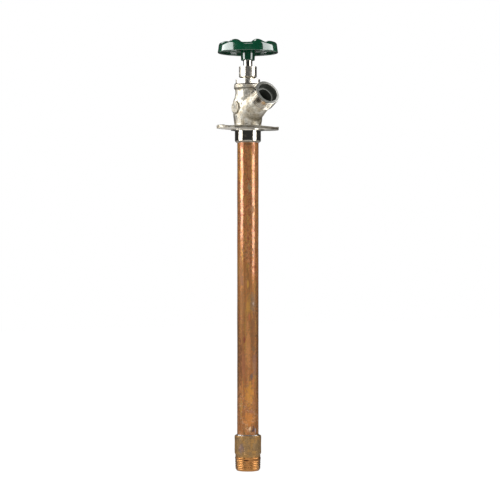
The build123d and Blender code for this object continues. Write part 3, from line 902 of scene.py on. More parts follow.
tubeLow, tubeHigh = millimetres("casing_tube")
tube = {
    "radius": 11.1125,
    "wall": 1.14,
    "dents": 0.045,          # of the drawn copper's uneven surface
    "dentLength": 22.0,
    "dentPace": 0.6,         # dents are longer along the tube than round it
    "waves": 0.012,
    "waveLength": 6.0,
    "highest": 0.05,         # of dents and waves together
    "evenTop": 16.0,         # even ends, and the length over which the dents set in
    "evenFoot": 13.0,
    "setIn": 4.0,
    "skin": 0.3,             # only points this near the outside move
    "step": 1.0,
    "columns": 120,
}


def tubeCorners():
    inner = tube["radius"] - tube["wall"]
    return [
        (inner, tubeLow.z, 0.15),
        (tube["radius"], tubeLow.z, 0.15),
        (tube["radius"], tubeHigh.z, 0.15),
        (inner, tubeHigh.z, 0.15),
    ]


def tubeShape(radius, height, angle):
    t = tube
    x, y = radius * np.cos(angle), radius * np.sin(angle)
    uneven = t["dents"] * ripples(x, y, height * t["dentPace"], t["dentLength"], seed=11)
    uneven = np.minimum(uneven + t["waves"] * ripples(x, y, height, t["waveLength"], seed=12), t["highest"])
    upper = np.clip((tubeHigh.z - t["evenTop"] - height) / t["setIn"], 0, 1)
    lower = np.clip((height - tubeLow.z - t["evenFoot"]) / t["setIn"], 0, 1)
    return np.where(radius > t["radius"] - t["skin"], radius + uneven * upper * lower, radius), height


copperTube = turned("copperTube", tube, tubeCorners(), tubeShape)
print("casing tube made with", len(copperTube.data.polygons), "faces")


# Inlet adapter

adapterLow, adapterHigh = millimetres("inlet_adapter")
adapter = {
    "radius": 13.8,
    "headLength": 18.7,
    "edge": 1.1,
    "chamfer": 1.1,
    "neckRadius": 13.05,
    "threadLength": 14.0,
    "smallRadius": 13.0,
    "taper": 1 / 32,
    "threadDepth": 0.5,
    "pitch": 25.4 / 14,
    "threadPhase": 0.47,
    "threadCrest": 0.10,
    "threadFoot": 0.46,
    "threadTurns": 6.78,     # where the last groove ends, and over how much of a turn it fades
    "threadFade": 0.15,
    "threadStop": 0.4,       # the grooves end this far below the neck
    "soften": 0.12,
    "shoulder": 0.5,         # height over which the thread's crests draw in to the neck
    "endFace": 1.0,          # band round the solder socket that has no thread
    "endChamfer": 1.5,
    "endHeight": 2.3,
    "tubeSocket": 11.15,
    "tubeSocketDepth": 14.0,
    "chamberRadius": 10.0,
    "seatDepth": 2.8,
    "seatRim": 7.0,
    "moat": 1.4,
    "throat": 5.6,
    "solderSocket": 7.975,
    "solderSocketDepth": 13.0,
    "swell": 0.05,           # of the head's skin, from headStart above the neck's foot
    "swellLength": 5.0,
    "headStart": 1.0,
    "skin": 0.2,
    "step": 0.25,
    "columns": 256,
}


def adapterCorners():
    a = adapter
    low, high = adapterLow.z, adapterHigh.z
    neck = low + a["threadLength"]
    seat = high - a["tubeSocketDepth"] - a["seatDepth"]
    large = a["smallRadius"] + a["taper"] * a["threadLength"]
    return [
        (a["solderSocket"], low, 0.3),
        (a["smallRadius"] - a["endChamfer"], low, 0.5),
        (a["smallRadius"], low + a["endHeight"], 1.5),
        (large, neck - a["shoulder"], 0.2),
        (a["neckRadius"], neck, 0.2),
        (a["neckRadius"], high - a["headLength"] - a["chamfer"], 0.3),
        (a["radius"], high - a["headLength"], 0.4),
        (a["radius"], high, a["edge"]),
        (a["tubeSocket"], high, 0.1),
        (a["tubeSocket"], high - a["tubeSocketDepth"], 0.1),
        (a["chamberRadius"], high - a["tubeSocketDepth"], 0.1),
        (a["chamberRadius"], seat - a["moat"], 0.3),
        (a["seatRim"], seat - a["moat"], 0.3),
        (a["seatRim"], seat, 0.3),
        (a["throat"], seat, 0.3),
        (a["throat"], low + a["solderSocketDepth"], 0.2),
        (a["solderSocket"], low + a["solderSocketDepth"], 0.1),
    ]


# Each groove's place along the helix counts the turns from the lower end. The last one fades out.
def adapterShape(radius, height, angle):
    a = adapter
    above = height - adapterLow.z
    crest = a["smallRadius"] + a["taper"] * above
    around = angle / (2 * math.pi) - a["threadPhase"]
    groove = np.floor(above / a["pitch"] - around) + 0.5 + around
    depth = a["threadDepth"] * np.clip((a["threadTurns"] - groove) / a["threadFade"], 0, 1)
    ridge = crest - depth * (1 - threadShare(a, above, angle))
    onThread = (radius > a["solderSocket"] + a["endFace"]) & (above < a["threadLength"] - a["threadStop"])
    threaded = np.where(onThread, smoothMin(radius, ridge, a["soften"]), radius)
    x, y = radius * np.cos(angle), radius * np.sin(angle)
    onHead = (above > a["threadLength"] + a["headStart"]) & (radius > a["neckRadius"] - a["skin"])
    uneven = a["swell"] * ripples(x, y, height, a["swellLength"], seed=21)
    return threaded + np.where(onHead, uneven, 0), height


# How far the thread stands out
def markAdapter(piece):
    a = adapter
    x, y, z = pointsOf(piece)
    above, radius = z - adapterLow.z, np.hypot(x, y)
    depth = (a["smallRadius"] + a["taper"] * above - radius) / a["threadDepth"]
    onThread = (above < a["threadLength"]) & (radius > a["solderSocket"] + 2 * a["endFace"])
    keepMask(piece, "ridge", np.where(onThread, 1 - depth, 1))


threadedAdapter = turned("threadedAdapter", adapter, adapterCorners(), adapterShape)
markAdapter(threadedAdapter)
print("inlet adapter made with", len(threadedAdapter.data.polygons), "faces")


# Solder rings round the tube, at the collar above and at the adapter below

upperRing = {"face": millimetres("body_solder_joint")[1].z, "width": 1.15, "height": -0.65, "seed": 31}
lowerRing = {"face": millimetres("inlet_solder_joint")[0].z, "width": 1.3, "height": 1.3, "seed": 32}
solder = {
    "sunk": 0.15,            # into the tube
    "middle": 0.55,          # where the ring's side passes, as a share of its width and height
    "waveLength": 6.0,
    "mean": 0.85,            # share of its full size that the ring has along its way
    "swing": 0.12,
    "least": 0.6,
    "step": 0.12,
    "columns": 240,
}


def solderRing(name, ring):
    face, radius = ring["face"], tube["radius"]
    inner, middle = radius - solder["sunk"], solder["middle"]
    corners = [
        (inner, face, 0),
        (radius + ring["width"], face, 0.05),
        (radius + middle * ring["width"], face + middle * ring["height"], 0.3),
        (inner, face + ring["height"], 0.05),
    ]

    # The ring is uneven, as solder that ran round the joint
    def uneven(r, z, angle):
        x, y = radius * np.cos(angle), radius * np.sin(angle)
        wave = ripples(x, y, 0 * angle, solder["waveLength"], ring["seed"])
        share = np.clip(solder["mean"] + solder["swing"] * wave, solder["least"], 1.0)
        return radius + (r - radius) * np.where(r > radius, share, 1), face + (z - face) * share

    return turned(name, solder, corners, uneven)


upperSolder = solderRing("upperSolder", upperRing)
lowerSolder = solderRing("lowerSolder", lowerRing)
print("solder rings made")


# Materials

effectShape = {
    "raggedScale": 400.0,    # of the noise that frays a spot's edge, and how much it frays it
    "raggedSwing": 3.0,
    "spotEdge": (1.15, 0.55),       # a spot begins and is full at these shares of its size
    "pitEdge": (0.32, 0.12),
    "pitDepth": 0.35,
    "wearEdge": (0.3, 1.0),
    "latheStretch": (0.03, 0.03, 1.0),
}


# Node group that gives numbers. Its inputs are named with their starting values.
def newGroup(name, outputs, **inputs):
    tree = bpy.data.node_groups.new(name, "ShaderNodeTree")
    for socketName, value in inputs.items():
        kind = "NodeSocketFloat" if isinstance(value, float) else "NodeSocketVector"
        tree.interface.new_socket(socketName, in_out="INPUT", socket_type=kind).default_value = value
    for socketName in outputs:
        tree.interface.new_socket(socketName, in_out="OUTPUT", socket_type="NodeSocketFloat")
    given = tree.nodes.new("NodeGroupInput").outputs
    return NodeTree(tree), given, tree.nodes.new("NodeGroupOutput").inputs


def seededNoise(group, place, given, scale, **inputs):
    inputs.update({"Vector": place, "W": given["Seed"], "Scale": given[scale]})
    return group.put("TexNoise", inputs, noise_dimensions="4D").outputs["Fac"]


# Cloudy patches: a mask from noise, drawn out along an axis by Stretch
def patchesGroup():
    group, given, out = newGroup("patches", ["Mask"], Place=(0, 0, 0), Scale=100.0, Stretch=(1, 1, 1),
                                 Seed=0.0, From=0.4, To=0.6, Detail=4.0)
    drawn = group.onVectors("MULTIPLY", given["Place"], given["Stretch"]).outputs[0]
    noise = seededNoise(group, drawn, given, "Scale", Detail=given["Detail"], Roughness=0.6)
    group.feed(out["Mask"], group.ramped(noise, given["From"], given["To"]))
    return group.tree


# One spot at a place on the surface, with a ragged edge, for stains and for painted shade and reflections
def spotGroup():
    group, given, out = newGroup(
        "spotMask", ["Mask"], Place=(0, 0, 0), Centre=(0, 0, 0), Size=(1, 1, 1), Ragged=0.5)
    away = group.onVectors("SUBTRACT", given["Place"], given["Centre"]).outputs[0]
    shaped = group.onVectors("DIVIDE", away, given["Size"]).outputs[0]
    length = group.put("VectorMath", {0: shaped}, operation="LENGTH").outputs["Value"]
    frayed = {"Vector": given["Place"], "Scale": effectShape["raggedScale"], "Detail": 3.0}
    noise = group.put("TexNoise", frayed)
    swing = group.reckon("SUBTRACT", noise.outputs["Fac"], 0.5)
    ragged = group.times(group.times(swing, given["Ragged"]), effectShape["raggedSwing"])
    group.feed(out["Mask"], group.ramped(group.plus(length, ragged), *effectShape["spotEdge"]))
    return group.tree


# Grainy height of cast, pressed or tarnished skins, with small pits
def grainGroup():
    group, given, out = newGroup("grain", ["Height"], Place=(0, 0, 0), Scale=900.0, Seed=0.0)
    noise = seededNoise(group, given["Place"], given, "Scale", Detail=4.0, Roughness=0.65)
    shared = {"Vector": given["Place"], "W": given["Seed"], "Scale": given["Scale"]}
    cells = group.put("TexVoronoi", shared, voronoi_dimensions="4D")
    pits = group.ramped(cells.outputs["Distance"], *effectShape["pitEdge"])
    group.feed(out["Height"], group.reckon("SUBTRACT", noise, group.times(pits, effectShape["pitDepth"])))
    return group.tree


# Worn edges, and hollows for dirt and painted shade, from how far the surface is bent out or in
def wearGroup():
    group, given, out = newGroup("wear", ["Raised", "Sunken"], Reach=0.1)
    bend = group.reckon("SUBTRACT", group.put("NewGeometry").outputs["Pointiness"], 0.5)
    share = group.reckon("DIVIDE", bend, given["Reach"])
    least, most = effectShape["wearEdge"]
    group.feed(out["Raised"], group.ramped(share, least, most))
    group.feed(out["Sunken"], group.ramped(share, -least, -most))
    return group.tree


# Fine lines left by the lathe, round the Z axis
def latheGroup():
    group, given, out = newGroup("lathe", ["Height"], Place=(0, 0, 0), Lines=3000.0, Seed=0.0)
    drawn = group.onVectors("MULTIPLY", given["Place"], effectShape["latheStretch"]).outputs[0]
    group.feed(out["Height"], seededNoise(group, drawn, given, "Lines", Detail=2.0))
    return group.tree


effects = {"patches": patchesGroup(), "spotMask": spotGroup(), "grain": grainGroup(), "wear": wearGroup(),
           "lathe": latheGroup()}


# Tints a finish with stains and spots of painted shade that lie on a cylinder round the stem axis, and gives
# back a mask of them all. Each is: degrees from the camera's side, height, half width and half height in
# millimetres, how ragged, its share and its colour.
def tintStainsAndShade(look, stainsAndShade, radius):
    every = 0.0
    for azimuth, height, wide, tall, ragged, share, colour in stainsAndShade:
        centre = (outward(azimuth) * radius + Vector((0, 0, height))) * mm
        size = (wide * mm, wide * mm, tall * mm)
        spotMask = look.effect("spotMask", Centre=centre, Size=size, Ragged=ragged)
        look.tint(spotMask, colour, share)
        every = look.larger(every, spotMask)
    return every


paint = {
    "green": (0.0006, 0.050, 0.021),
    "lightGreen": (0.001, 0.068, 0.030),
    "chip": (0.10, 0.20, 0.14),
    "chipShare": 0.5,
    "roughness": (0.13, 0.23),
    "coatRoughness": 0.03,
    "coatIor": 1.60,
    "orangePeel": 0.000008,
}


def greenPaint():
    look = Finish("greenGlossPaint", paint["green"])
    cloud = look.patches(Scale=90, From=0.35, To=0.7, Seed=1)
    look.tint(cloud, paint["lightGreen"])
    flakes = look.patches(Scale=500, From=0.5, To=0.62, Seed=2)
    chips = look.times(look.effect("wear", "Raised", Reach=0.12), flakes)
    look.tint(chips, paint["chip"], paint["chipShare"])
    waves = look.patches(Scale=420, From=0.2, To=0.8, Detail=1)
    look.finish(waves, paint["orangePeel"], {
        "Roughness": look.spread(cloud, *paint["roughness"]),
        "Coat Weight": 1.0,
        "Coat Roughness": paint["coatRoughness"],
        "Coat IOR": paint["coatIor"],
    })


nickel = {
    "light": (0.76, 0.73, 0.655),
    "brown": (0.52, 0.455, 0.34),
    # grime, and painted shade in hollows and on the rear collar
    "grimeAndShade": (0.16, 0.13, 0.085),
    # near-black painted shade for the casting's lines and flange edge
    "paintedShadeColour": (0.022, 0.019, 0.013),
    "machined": (0.74, 0.70, 0.62),
    # painted shade inside bores and chambers
    "inside": (0.075, 0.08, 0.07),
    # painted pale reflection of what lies below
    "paleReflection": (0.88, 0.86, 0.81),
    # painted shade for the thread roots and a dark patch
    "root": (0.07, 0.045, 0.022),
    "olive": (0.25, 0.23, 0.15),
    # painted golden reflection on the hose thread
    "gold": (0.62, 0.42, 0.22),
    # painted shade and painted light for the mouth's face
    "rimPaintedShade": (0.24, 0.24, 0.22),
    "rimPaintedLight": (0.76, 0.76, 0.72),
    # painted highlight for the step at the bore's end
    "step": (0.50, 0.51, 0.48),
    "brownSide": (0.0, 0.014, 0.0, 0.6),      # x where the casting turns brown, and the share it reaches
    "rimSide": (-0.004, 0.013),               # x where the mouth's face goes from painted shade to painted light
    "oliveStain": {"Centre": (0.008, -0.010, 0.010), "Size": (0.010, 0.010, 0.013), "Ragged": 0.3},
    # a painted patch of shade and a painted golden reflection on the hose thread
    "rootShadePatch": {"Centre": (-0.0111, -0.0382, 0.0271), "Size": (0.0030, 0.0030, 0.0030), "Ragged": 0.6},
    "goldReflectionPatch": {"Centre": (-0.0066, -0.0405, 0.0246), "Size": (0.0028, 0.0028, 0.0028), "Ragged": 0.6},
    "castRoughness": (0.38, 0.52),
    "castGrain": 0.00016,
    "coarseShare": 0.7,      # of the coarse grain beside the fine one
    "paintedShadeShare": (0.9, 1.0),
    "castSpecular": 0.1,     # for the non-metallic painted shade and pale underside, which don't shine
    "threadSpecular": 0.15,
    "rootShadeEdge": (0.75, 0.1),         # painted shade in the thread's grooves, between these shares of its depth
    "faceMetallic": 0.6,     # how much less metallic the mouth's face is
    "latheShare": 0.15,      # of the lathe's lines beside the soft waves
}


# Satin plate over the sand casting: cloudy, dark with dirt and painted shade in the hollows, bright on worn
# edges
def castNickel():
    look = Finish("satinNickelCasting", nickel["light"])
    cloud = look.patches(Scale=150, From=0.38, To=0.64, Seed=4)
    dark = look.patches(Scale=520, From=0.52, To=0.64, Seed=12, Detail=2)
    look.tint(cloud, nickel["brown"])
    look.tint(look.patches(Scale=900, From=0.50, To=0.66, Seed=5), nickel["brown"], share=0.6)
    look.tint(look.effect("wear", "Raised", Reach=0.07), nickel["machined"], share=0.6)
    # dirt and painted shade in the hollows
    look.tint(look.effect("wear", "Sunken", Reach=0.07), nickel["grimeAndShade"], share=0.75)
    look.tint(dark, nickel["grimeAndShade"], share=0.6)
    look.tint(look.effect("spotMask", **nickel["oliveStain"]), nickel["olive"], share=0.45)
    look.tint(look.ramped(look.axis("X"), *nickel["brownSide"]), nickel["brown"])
    inside, underReflection = look.mask("inside"), look.mask("underReflection")
    # Painted shade on the casting's lines and flange edge, a little broken up by the dark patches
    paintedShadeMask = look.times(look.mask("paintedShade"), look.spread(dark, *nickel["paintedShadeShare"]))
    # painted pale reflection underneath
    look.tint(underReflection, nickel["paleReflection"], share=0.8)
    look.tint(paintedShadeMask, nickel["paintedShadeColour"])
    # painted shade inside
    look.tint(inside, nickel["inside"])
    coarse = look.effect("grain", "Height", Scale=620, Seed=6)
    fine = look.effect("grain", "Height", Scale=1500, Seed=7)
    look.finish(look.plus(look.times(coarse, nickel["coarseShare"]), fine), nickel["castGrain"], {
        "Roughness": look.spread(cloud, *nickel["castRoughness"]),
        "Metallic": look.reckon("SUBTRACT", 1.0, look.larger(look.larger(inside, paintedShadeMask), underReflection)),
        "Specular IOR Level": nickel["castSpecular"],
    })


# Turned and plated surfaces: nearly a mirror, with faint lathe lines, a thin brown haze, and dirt and painted
# shade in the hollows
def machinedNickel(name, roughness, lines, haze=0.35, wave=0.00002, threaded=False):
    look = Finish(name, nickel["machined"])
    cloud = look.patches(Scale=260, From=0.4, To=0.7, Seed=8)
    look.tint(cloud, nickel["brown"], haze)
    # dirt and painted shade in the hollows
    look.tint(look.effect("wear", "Sunken", Reach=0.1), nickel["grimeAndShade"], share=0.7)
    # painted shade on the rear collar's lower end
    look.tint(look.mask("paintedShade"), nickel["grimeAndShade"], share=0.8)
    turning = look.effect("lathe", "Height", Lines=lines, Seed=9)
    soft = look.patches(Scale=200, From=0.2, To=0.8, Detail=1)
    special = hoseThreadColours(look) if threaded else {"Metallic": 1.0}
    look.finish(look.plus(look.times(turning, nickel["latheShare"]), soft), wave, {
        "Roughness": look.spread(cloud, *roughness), **special})


# Painted shade in the thread roots, a painted dark patch and a painted golden reflection, and the bore, step
# and face of the mouth
def hoseThreadColours(look):
    # painted shade in the thread roots
    look.tint(look.ramped(look.mask("ridge"), *nickel["rootShadeEdge"]), nickel["root"], share=0.95)
    # a painted dark patch of shade and a painted golden reflection on the thread
    look.tint(look.effect("spotMask", **nickel["rootShadePatch"]), nickel["root"], share=0.8)
    look.tint(look.effect("spotMask", **nickel["goldReflectionPatch"]), nickel["gold"], share=0.8)
    inside, face = look.mask("inside"), look.mask("mouth")
    # painted shade inside the bore
    look.tint(inside, nickel["inside"])
    # painted highlight on the step
    look.tint(look.mask("step"), nickel["step"])
    # the mouth's face: painted shade towards -x, painted light towards +x
    toLight = look.ramped(look.axis("X"), *nickel["rimSide"])
    look.tint(face, look.mixed(toLight, nickel["rimPaintedShade"], nickel["rimPaintedLight"]))
    metallic = look.reckon("SUBTRACT", 1.0, look.larger(inside, look.times(face, nickel["faceMetallic"])))
    return {"Metallic": metallic, "Specular IOR Level": nickel["threadSpecular"]}


copper = {
    "bright": (0.58, 0.235, 0.090),
    "orange": (0.54, 0.20, 0.060),
    "brown": (0.32, 0.115, 0.036),
    "ochre": (0.55, 0.29, 0.06),
    "olive": (0.20, 0.15, 0.07),
    "red": (0.32, 0.075, 0.035),
    "oxide": (0.26, 0.125, 0.035),
    "crack": (0.74, 0.45, 0.27),
    "border": (-0.098, -0.130),      # heights over which the tube turns dull, in metres
    "borderWave": 0.05,
    "borderSlope": 1.8,      # the dull part reaches higher on the left
    "oxideFade": (-0.20, -0.27, 0.4, 0.1),    # heights, and the oxide's share at each
    "cracksFrom": (-0.262, -0.285),
    "crackScale": 330.0,
    "crackEdge": (0.09, 0.02),
    "streakShare": (0.25, 0.8),      # on the bright and on the dull part
    "redShare": (0.7, 0.2),
    "bump": 0.00010,
    "metallic": (0.48, 0.28),        # clean, and under stains and painted shade
    "dullMetallic": 0.12,
    "roughness": (0.22, 0.30),       # clear and clouded
    "dullRoughness": (0.0, 0.18),    # added where bright and where dull
    "stainAndShadeRoughness": 0.15,
    "coat": (0.8, 0.05),     # bright, and where dull, stained or under painted shade
    "coatRoughness": 0.12,
    "specular": 0.25,
    "stainsAndShade": [
        # painted shadow under the collar, on the side towards the camera
        (0, -16.0, 4.5, 1.2, 0.5, 0.8, (0.1, 0.045, 0.02)),
        (27, -20.0, 2.0, 7.0, 0.5, 0.7, (0.36, 0.14, 0.06)),
        (-34, -16.5, 2.4, 3.5, 0.5, 0.7, (0.4, 0.16, 0.08)),
        (-45, -48.0, 1.6, 8.0, 0.5, 0.7, (0.62, 0.3, 0.05)),
        (-56, -56.0, 1.2, 1.8, 0.5, 0.8, (0.16, 0.04, 0.02)),
        (9, -60.5, 2.2, 5.6, 1.3, 0.7, (0.2, 0.18, 0.1)),
        (27, -84.0, 2.2, 4.2, 0.5, 0.75, (0.3, 0.16, 0.08)),
        (-33, -157.0, 2.2, 6.5, 0.9, 0.8, (0.26, 0.12, 0.07)),
        (0, -161.0, 1.2, 4.5, 0.5, 0.7, (0.55, 0.29, 0.05)),
        (30, -181.0, 3.6, 13.0, 0.9, 0.7, (0.21, 0.14, 0.085)),
        (30, -181.0, 1.0, 2.0, 0.8, 0.6, (0.5, 0.42, 0.36)),
        (2, -184.5, 1.9, 6.0, 0.8, 0.6, (0.52, 0.26, 0.05)),
        (9, -195.0, 1.2, 4.0, 0.6, 0.6, (0.5, 0.14, 0.06)),
        (-34, -225.0, 3.0, 30.0, 0.9, 0.55, (0.19, 0.075, 0.025)),
        (30, -215.0, 3.4, 33.0, 0.9, 0.6, (0.17, 0.075, 0.03)),
        (2, -225.0, 2.6, 26.0, 0.8, 0.45, (0.62, 0.27, 0.09)),
        (-58, -250.0, 3.0, 42.0, 0.8, 0.5, (0.2, 0.085, 0.03)),
        (-40, -150.0, 2.6, 18.0, 0.9, 0.45, (0.3, 0.14, 0.06)),
        (-33, -183.0, 3.0, 22.0, 0.9, 0.55, (0.26, 0.12, 0.045)),
        (-46, -245.0, 3.0, 28.0, 0.8, 0.65, (0.13, 0.045, 0.018)),
        # two long bands of painted shade down the tube's sides
        (72, -230.0, 4.4, 75.0, 0.7, 0.75, (0.085, 0.038, 0.015)),
        (-76, -230.0, 4.4, 75.0, 0.7, 0.75, (0.085, 0.038, 0.015)),
        (-48, -196.0, 1.2, 4.5, 0.6, 0.8, (0.22, 0.06, 0.04)),
        (-18, -217.5, 1.2, 4.0, 0.6, 0.8, (0.22, 0.05, 0.03)),
        (32, -227.5, 2.6, 3.5, 1.0, 0.7, (0.2, 0.11, 0.05)),
        (-24, -245.0, 2.0, 15.0, 0.5, 0.75, (0.3, 0.11, 0.05)),
        (38, -243.0, 3.0, 13.0, 0.6, 0.7, (0.27, 0.13, 0.085)),
        (22, -256.5, 1.6, 3.5, 0.8, 0.75, (0.11, 0.1, 0.09)),
        (9, -276.0, 4.6, 12.0, 1.1, 0.6, (0.66, 0.29, 0.045)),
        (20, -293.0, 3.0, 2.2, 0.9, 0.6, (0.38, 0.16, 0.11)),
        (6, -300.5, 6.0, 7.5, 1.1, 0.6, (0.66, 0.25, 0.05)),
        (11, -310.5, 1.6, 2.4, 0.5, 0.8, (0.85, 0.6, 0.36)),
        (31, -311.5, 1.8, 4.0, 0.7, 0.8, (0.08, 0.055, 0.06)),
        (44, -313.0, 1.0, 3.5, 0.6, 0.85, (0.32, 0.3, 0.36)),
    ],
}


# Drawn copper: streaks along the tube, brown and olive clouds, single stains, a painted shadow under the
# collar and painted shade down both sides. The torch made its lower part dull, with fine cracks of oxide near
# the joint.
def stainedCopper():
    look = Finish("stainedCopper", copper["bright"])
    z = look.axis("Z")
    border = look.patches(Scale=130, Stretch=(1, 1, 0.5), Seed=10, From=0.2, To=0.8)
    aside = look.onVectors("DOT_PRODUCT", look.place, outward(90) * copper["borderSlope"]).outputs["Value"]
    level = look.plus(look.plus(z, aside), look.times(border, copper["borderWave"]))
    dull = look.ramped(level, *copper["border"])
    wide = look.patches(Scale=160, Stretch=(1, 1, 0.22), Seed=2, From=0.42, To=0.62)
    streak = look.patches(Scale=420, Stretch=(1, 1, 0.08), Seed=1, From=0.42, To=0.60, Detail=5)
    cloud = look.patches(Scale=210, Stretch=(1, 1, 0.7), Seed=3, From=0.46, To=0.66)
    yellow = look.patches(Scale=300, Stretch=(1, 1, 0.12), Seed=7, From=0.52, To=0.64)
    speck = look.patches(Scale=1500, Stretch=(1, 1, 0.6), Seed=4, From=0.50, To=0.66)
    grains = look.patches(Scale=520, Seed=6, From=0.50, To=0.60, Detail=2)
    reddish = look.patches(Scale=430, Seed=8, From=0.52, To=0.61, Detail=2)
    look.tint(wide, copper["orange"])
    look.tint(streak, copper["brown"], look.spread(dull, *copper["streakShare"]))
    look.tint(cloud, copper["brown"], share=0.55)
    look.tint(yellow, copper["ochre"], share=0.7)
    look.tint(speck, copper["olive"], share=0.35)
    look.tint(grains, copper["olive"], share=0.6)
    look.tint(reddish, copper["red"], look.spread(dull, *copper["redShare"]))
    look.tint(dull, copper["oxide"], look.ramped(z, *copper["oxideFade"]))
    cracks = {"Vector": look.place, "Scale": copper["crackScale"]}
    cells = look.put("TexVoronoi", cracks, feature="DISTANCE_TO_EDGE")
    crack = look.ramped(cells.outputs["Distance"], *copper["crackEdge"])
    crack = look.times(crack, look.patches(Scale=200, Seed=9, From=0.45, To=0.6))
    look.tint(look.times(crack, look.ramped(z, *copper["cracksFrom"])), copper["crack"], share=0.6)
    stainedAndShaded = tintStainsAndShade(look, copper["stainsAndShade"], tube["radius"])
    cloudy = look.spread(cloud, *copper["roughness"])
    rough = look.plus(cloudy, look.spread(dull, *copper["dullRoughness"]))
    wavy = look.patches(Scale=330, Stretch=(1, 1, 0.5), Seed=5, From=0.2, To=0.8, Detail=2)
    metallic = look.plus(look.spread(stainedAndShaded, *copper["metallic"]), look.times(dull, copper["dullMetallic"]))
    look.finish(wavy, copper["bump"], {
        "Metallic": metallic,
        "Roughness": look.plus(rough, look.times(stainedAndShaded, copper["stainAndShadeRoughness"])),
        "Coat Weight": look.spread(look.larger(dull, stainedAndShaded), *copper["coat"]),
        "Coat Roughness": copper["coatRoughness"],
        "Specular IOR Level": copper["specular"],
    })


brass = {
    "olive": (0.325, 0.20, 0.087),
    "gold": (0.46, 0.245, 0.072),
    "worn": (0.80, 0.55, 0.30),
    "brown": (0.19, 0.115, 0.055),
    "thread": (0.52, 0.228, 0.072),
    "threadTop": (-0.3405, -0.3395, 1.0, 0.0),      # heights between thread and head, in metres
    "headStains": [(-30, -330.5, 4.0, 5.0, 0.7, 0.6, (0.20, 0.14, 0.15))],
    "headRadius": 13.8,
    # painted shade down the thread's sides
    "sideShade": [(side, -347.5, 4.8, 11.0, 0.5, 0.6, (0.19, 0.115, 0.055)) for side in (-74, 72)],
    "sideRadius": 12.8,
    # darkens the thread's last groove below the head
    "slotDarkening": [(-8, -343.0, 3.4, 0.8, 0.1, 0.9, (0.05, 0.02, 0.012))],
    "slotRadius": 13.0,
    # painted shade in the thread's grooves, between these shares of its depth
    "rootShadeEdge": (0.7, 0.1),
    "threadCloud": 0.4,
    "bump": 0.00008,
    "metallic": (0.70, 0.95),        # of the head and of the thread
    "roughness": (0.46, 0.33),
}


# Turned brass dulled by the torch: olive-brown head, cleaner and more orange thread, with painted shade down
# the thread's sides and in its grooves, and its last groove darkened
def torchedBrass():
    look = Finish("torchedBrass", brass["olive"])
    thread = look.ramped(look.axis("Z"), *brass["threadTop"])
    cloud = look.patches(Scale=170, Seed=1, From=0.42, To=0.62)
    speck = look.patches(Scale=760, Seed=2, From=0.47, To=0.62, Detail=3)
    look.tint(cloud, brass["gold"])
    look.tint(speck, brass["brown"], share=0.7)
    tintStainsAndShade(look, brass["headStains"], brass["headRadius"])
    look.tint(thread, look.mixed(look.times(cloud, brass["threadCloud"]), brass["thread"], brass["gold"]))
    look.tint(look.effect("wear", "Raised", Reach=0.08), brass["worn"], share=0.5)
    # painted shade in the thread's grooves
    look.tint(look.ramped(look.mask("ridge"), *brass["rootShadeEdge"]), brass["brown"], share=0.2)
    # painted shade down the thread's sides, and the last groove darkened
    tintStainsAndShade(look, brass["sideShade"], brass["sideRadius"])
    tintStainsAndShade(look, brass["slotDarkening"], brass["slotRadius"])
    # dirt and painted shade in the hollows
    look.tint(look.effect("wear", "Sunken", Reach=0.08), brass["brown"], share=0.6)
    look.finish(look.effect("grain", "Height", Scale=1300), brass["bump"], {
        "Metallic": look.spread(thread, *brass["metallic"]),
        "Roughness": look.spread(thread, *brass["roughness"]),
    })


# Plain finishes: two colours in clouds, metallic, roughness and the scale of the clouds
plainFinishes = {
    "solder": ((0.62, 0.61, 0.59), (0.40, 0.34, 0.28), 1.0, 0.30, 500),
    "plainBrass": ((0.66, 0.46, 0.17), (0.55, 0.36, 0.13), 1.0, 0.26, 300),
    "stainlessSteel": ((0.56, 0.56, 0.55), (0.47, 0.47, 0.46), 1.0, 0.28, 300),
    "pressedGraphite": ((0.030, 0.030, 0.033), (0.055, 0.055, 0.06), 0.3, 0.45, 300),
    "blackRubber": ((0.012, 0.012, 0.012), (0.022, 0.021, 0.020), 0.0, 0.6, 300),
    "darkFibre": ((0.035, 0.028, 0.022), (0.06, 0.048, 0.038), 0.0, 0.75, 900),
    "whiteNylon": ((0.74, 0.72, 0.66), (0.66, 0.64, 0.57), 0.0, 0.42, 300),
}
plainGrain = {"scale": 1200, "depth": 0.00004, "roughnessRange": 0.12}


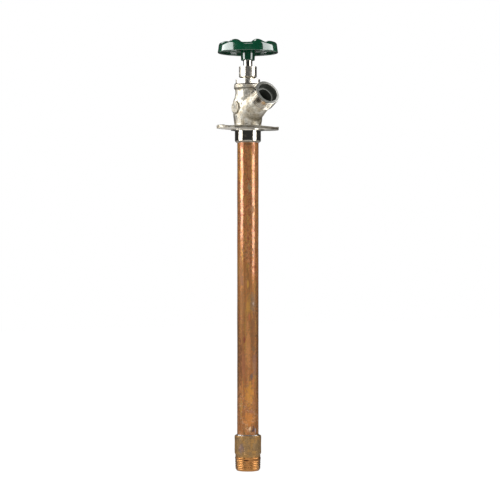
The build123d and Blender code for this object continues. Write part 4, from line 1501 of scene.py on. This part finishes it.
def plainFinish(name, first, second, metallic, roughness, scale):
    look = Finish(name, first)
    cloud = look.patches(Scale=scale, From=0.4, To=0.64)
    look.tint(cloud, second)
    look.finish(look.effect("grain", "Height", Scale=plainGrain["scale"]), plainGrain["depth"], {
        "Metallic": metallic,
        "Roughness": look.spread(cloud, roughness, roughness + plainGrain["roughnessRange"]),
    })


greenPaint()
castNickel()
machinedNickel("turnedNickelCollar", (0.08, 0.18), 2600.0, haze=0.75, wave=0.00005)
machinedNickel("turnedNickelThread", (0.16, 0.26), 1500.0, haze=0.8, threaded=True)
machinedNickel("turnedNickelStem", (0.10, 0.16), 2200.0)
machinedNickel("polishedNickelNut", (0.26, 0.34), 1800.0, wave=0.000005)
stainedCopper()
torchedBrass()
for name, values in plainFinishes.items():
    plainFinish(name, *values)


def dress(piece, name):
    if not piece.data.materials:
        piece.data.materials.append(finishes[name])
    for slot in piece.material_slots:
        slot.material = finishes[name]


# What each piece rides on, the node it stands for, its material slot and its finish
for piece, body, node, slot, name in (
    (handwheel, "turning_stem", "handle", "green_paint", "greenGlossPaint"),
    (packingNut, "hydrant", "packing_nut", "nickel_bright", "polishedNickelNut"),
    (hexagonBonnet, "hydrant", "bonnet", "nickel_bright", "polishedNickelNut"),
    (castBody, "hydrant", "body_casting", "nickel_casting", "satinNickelCasting"),
    (hoseThread, "hydrant", "body_casting", "nickel_casting", "turnedNickelThread"),
    (rearCollar, "hydrant", "body_casting", "nickel_casting", "turnedNickelCollar"),
    (copperTube, "hydrant", "casing_tube", "copper", "stainedCopper"),
    (threadedAdapter, "hydrant", "inlet_adapter", "dull_brass", "torchedBrass"),
    (upperSolder, "hydrant", "body_solder_joint", "solder", "solder"),
    (lowerSolder, "hydrant", "inlet_solder_joint", "solder", "solder"),
):
    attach(piece, body)
    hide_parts(node)
    dress(piece, name)

for node, name in {
    "stem": "turnedNickelStem", "handle_screw": "stainlessSteel", "bonnet_gasket": "darkFibre",
    "packing_washer": "plainBrass", "stem_packing": "pressedGraphite", "packing_gland": "plainBrass",
    "operating_rod": "plainBrass", "coupling_pin": "stainlessSteel", "rod_guide": "whiteNylon",
    "washer_holder": "plainBrass", "retaining_ring": "stainlessSteel", "seat_washer": "blackRubber",
    "washer_screw": "stainlessSteel",
}.items():
    dress(nodes[node], name)
print("materials made and assigned")
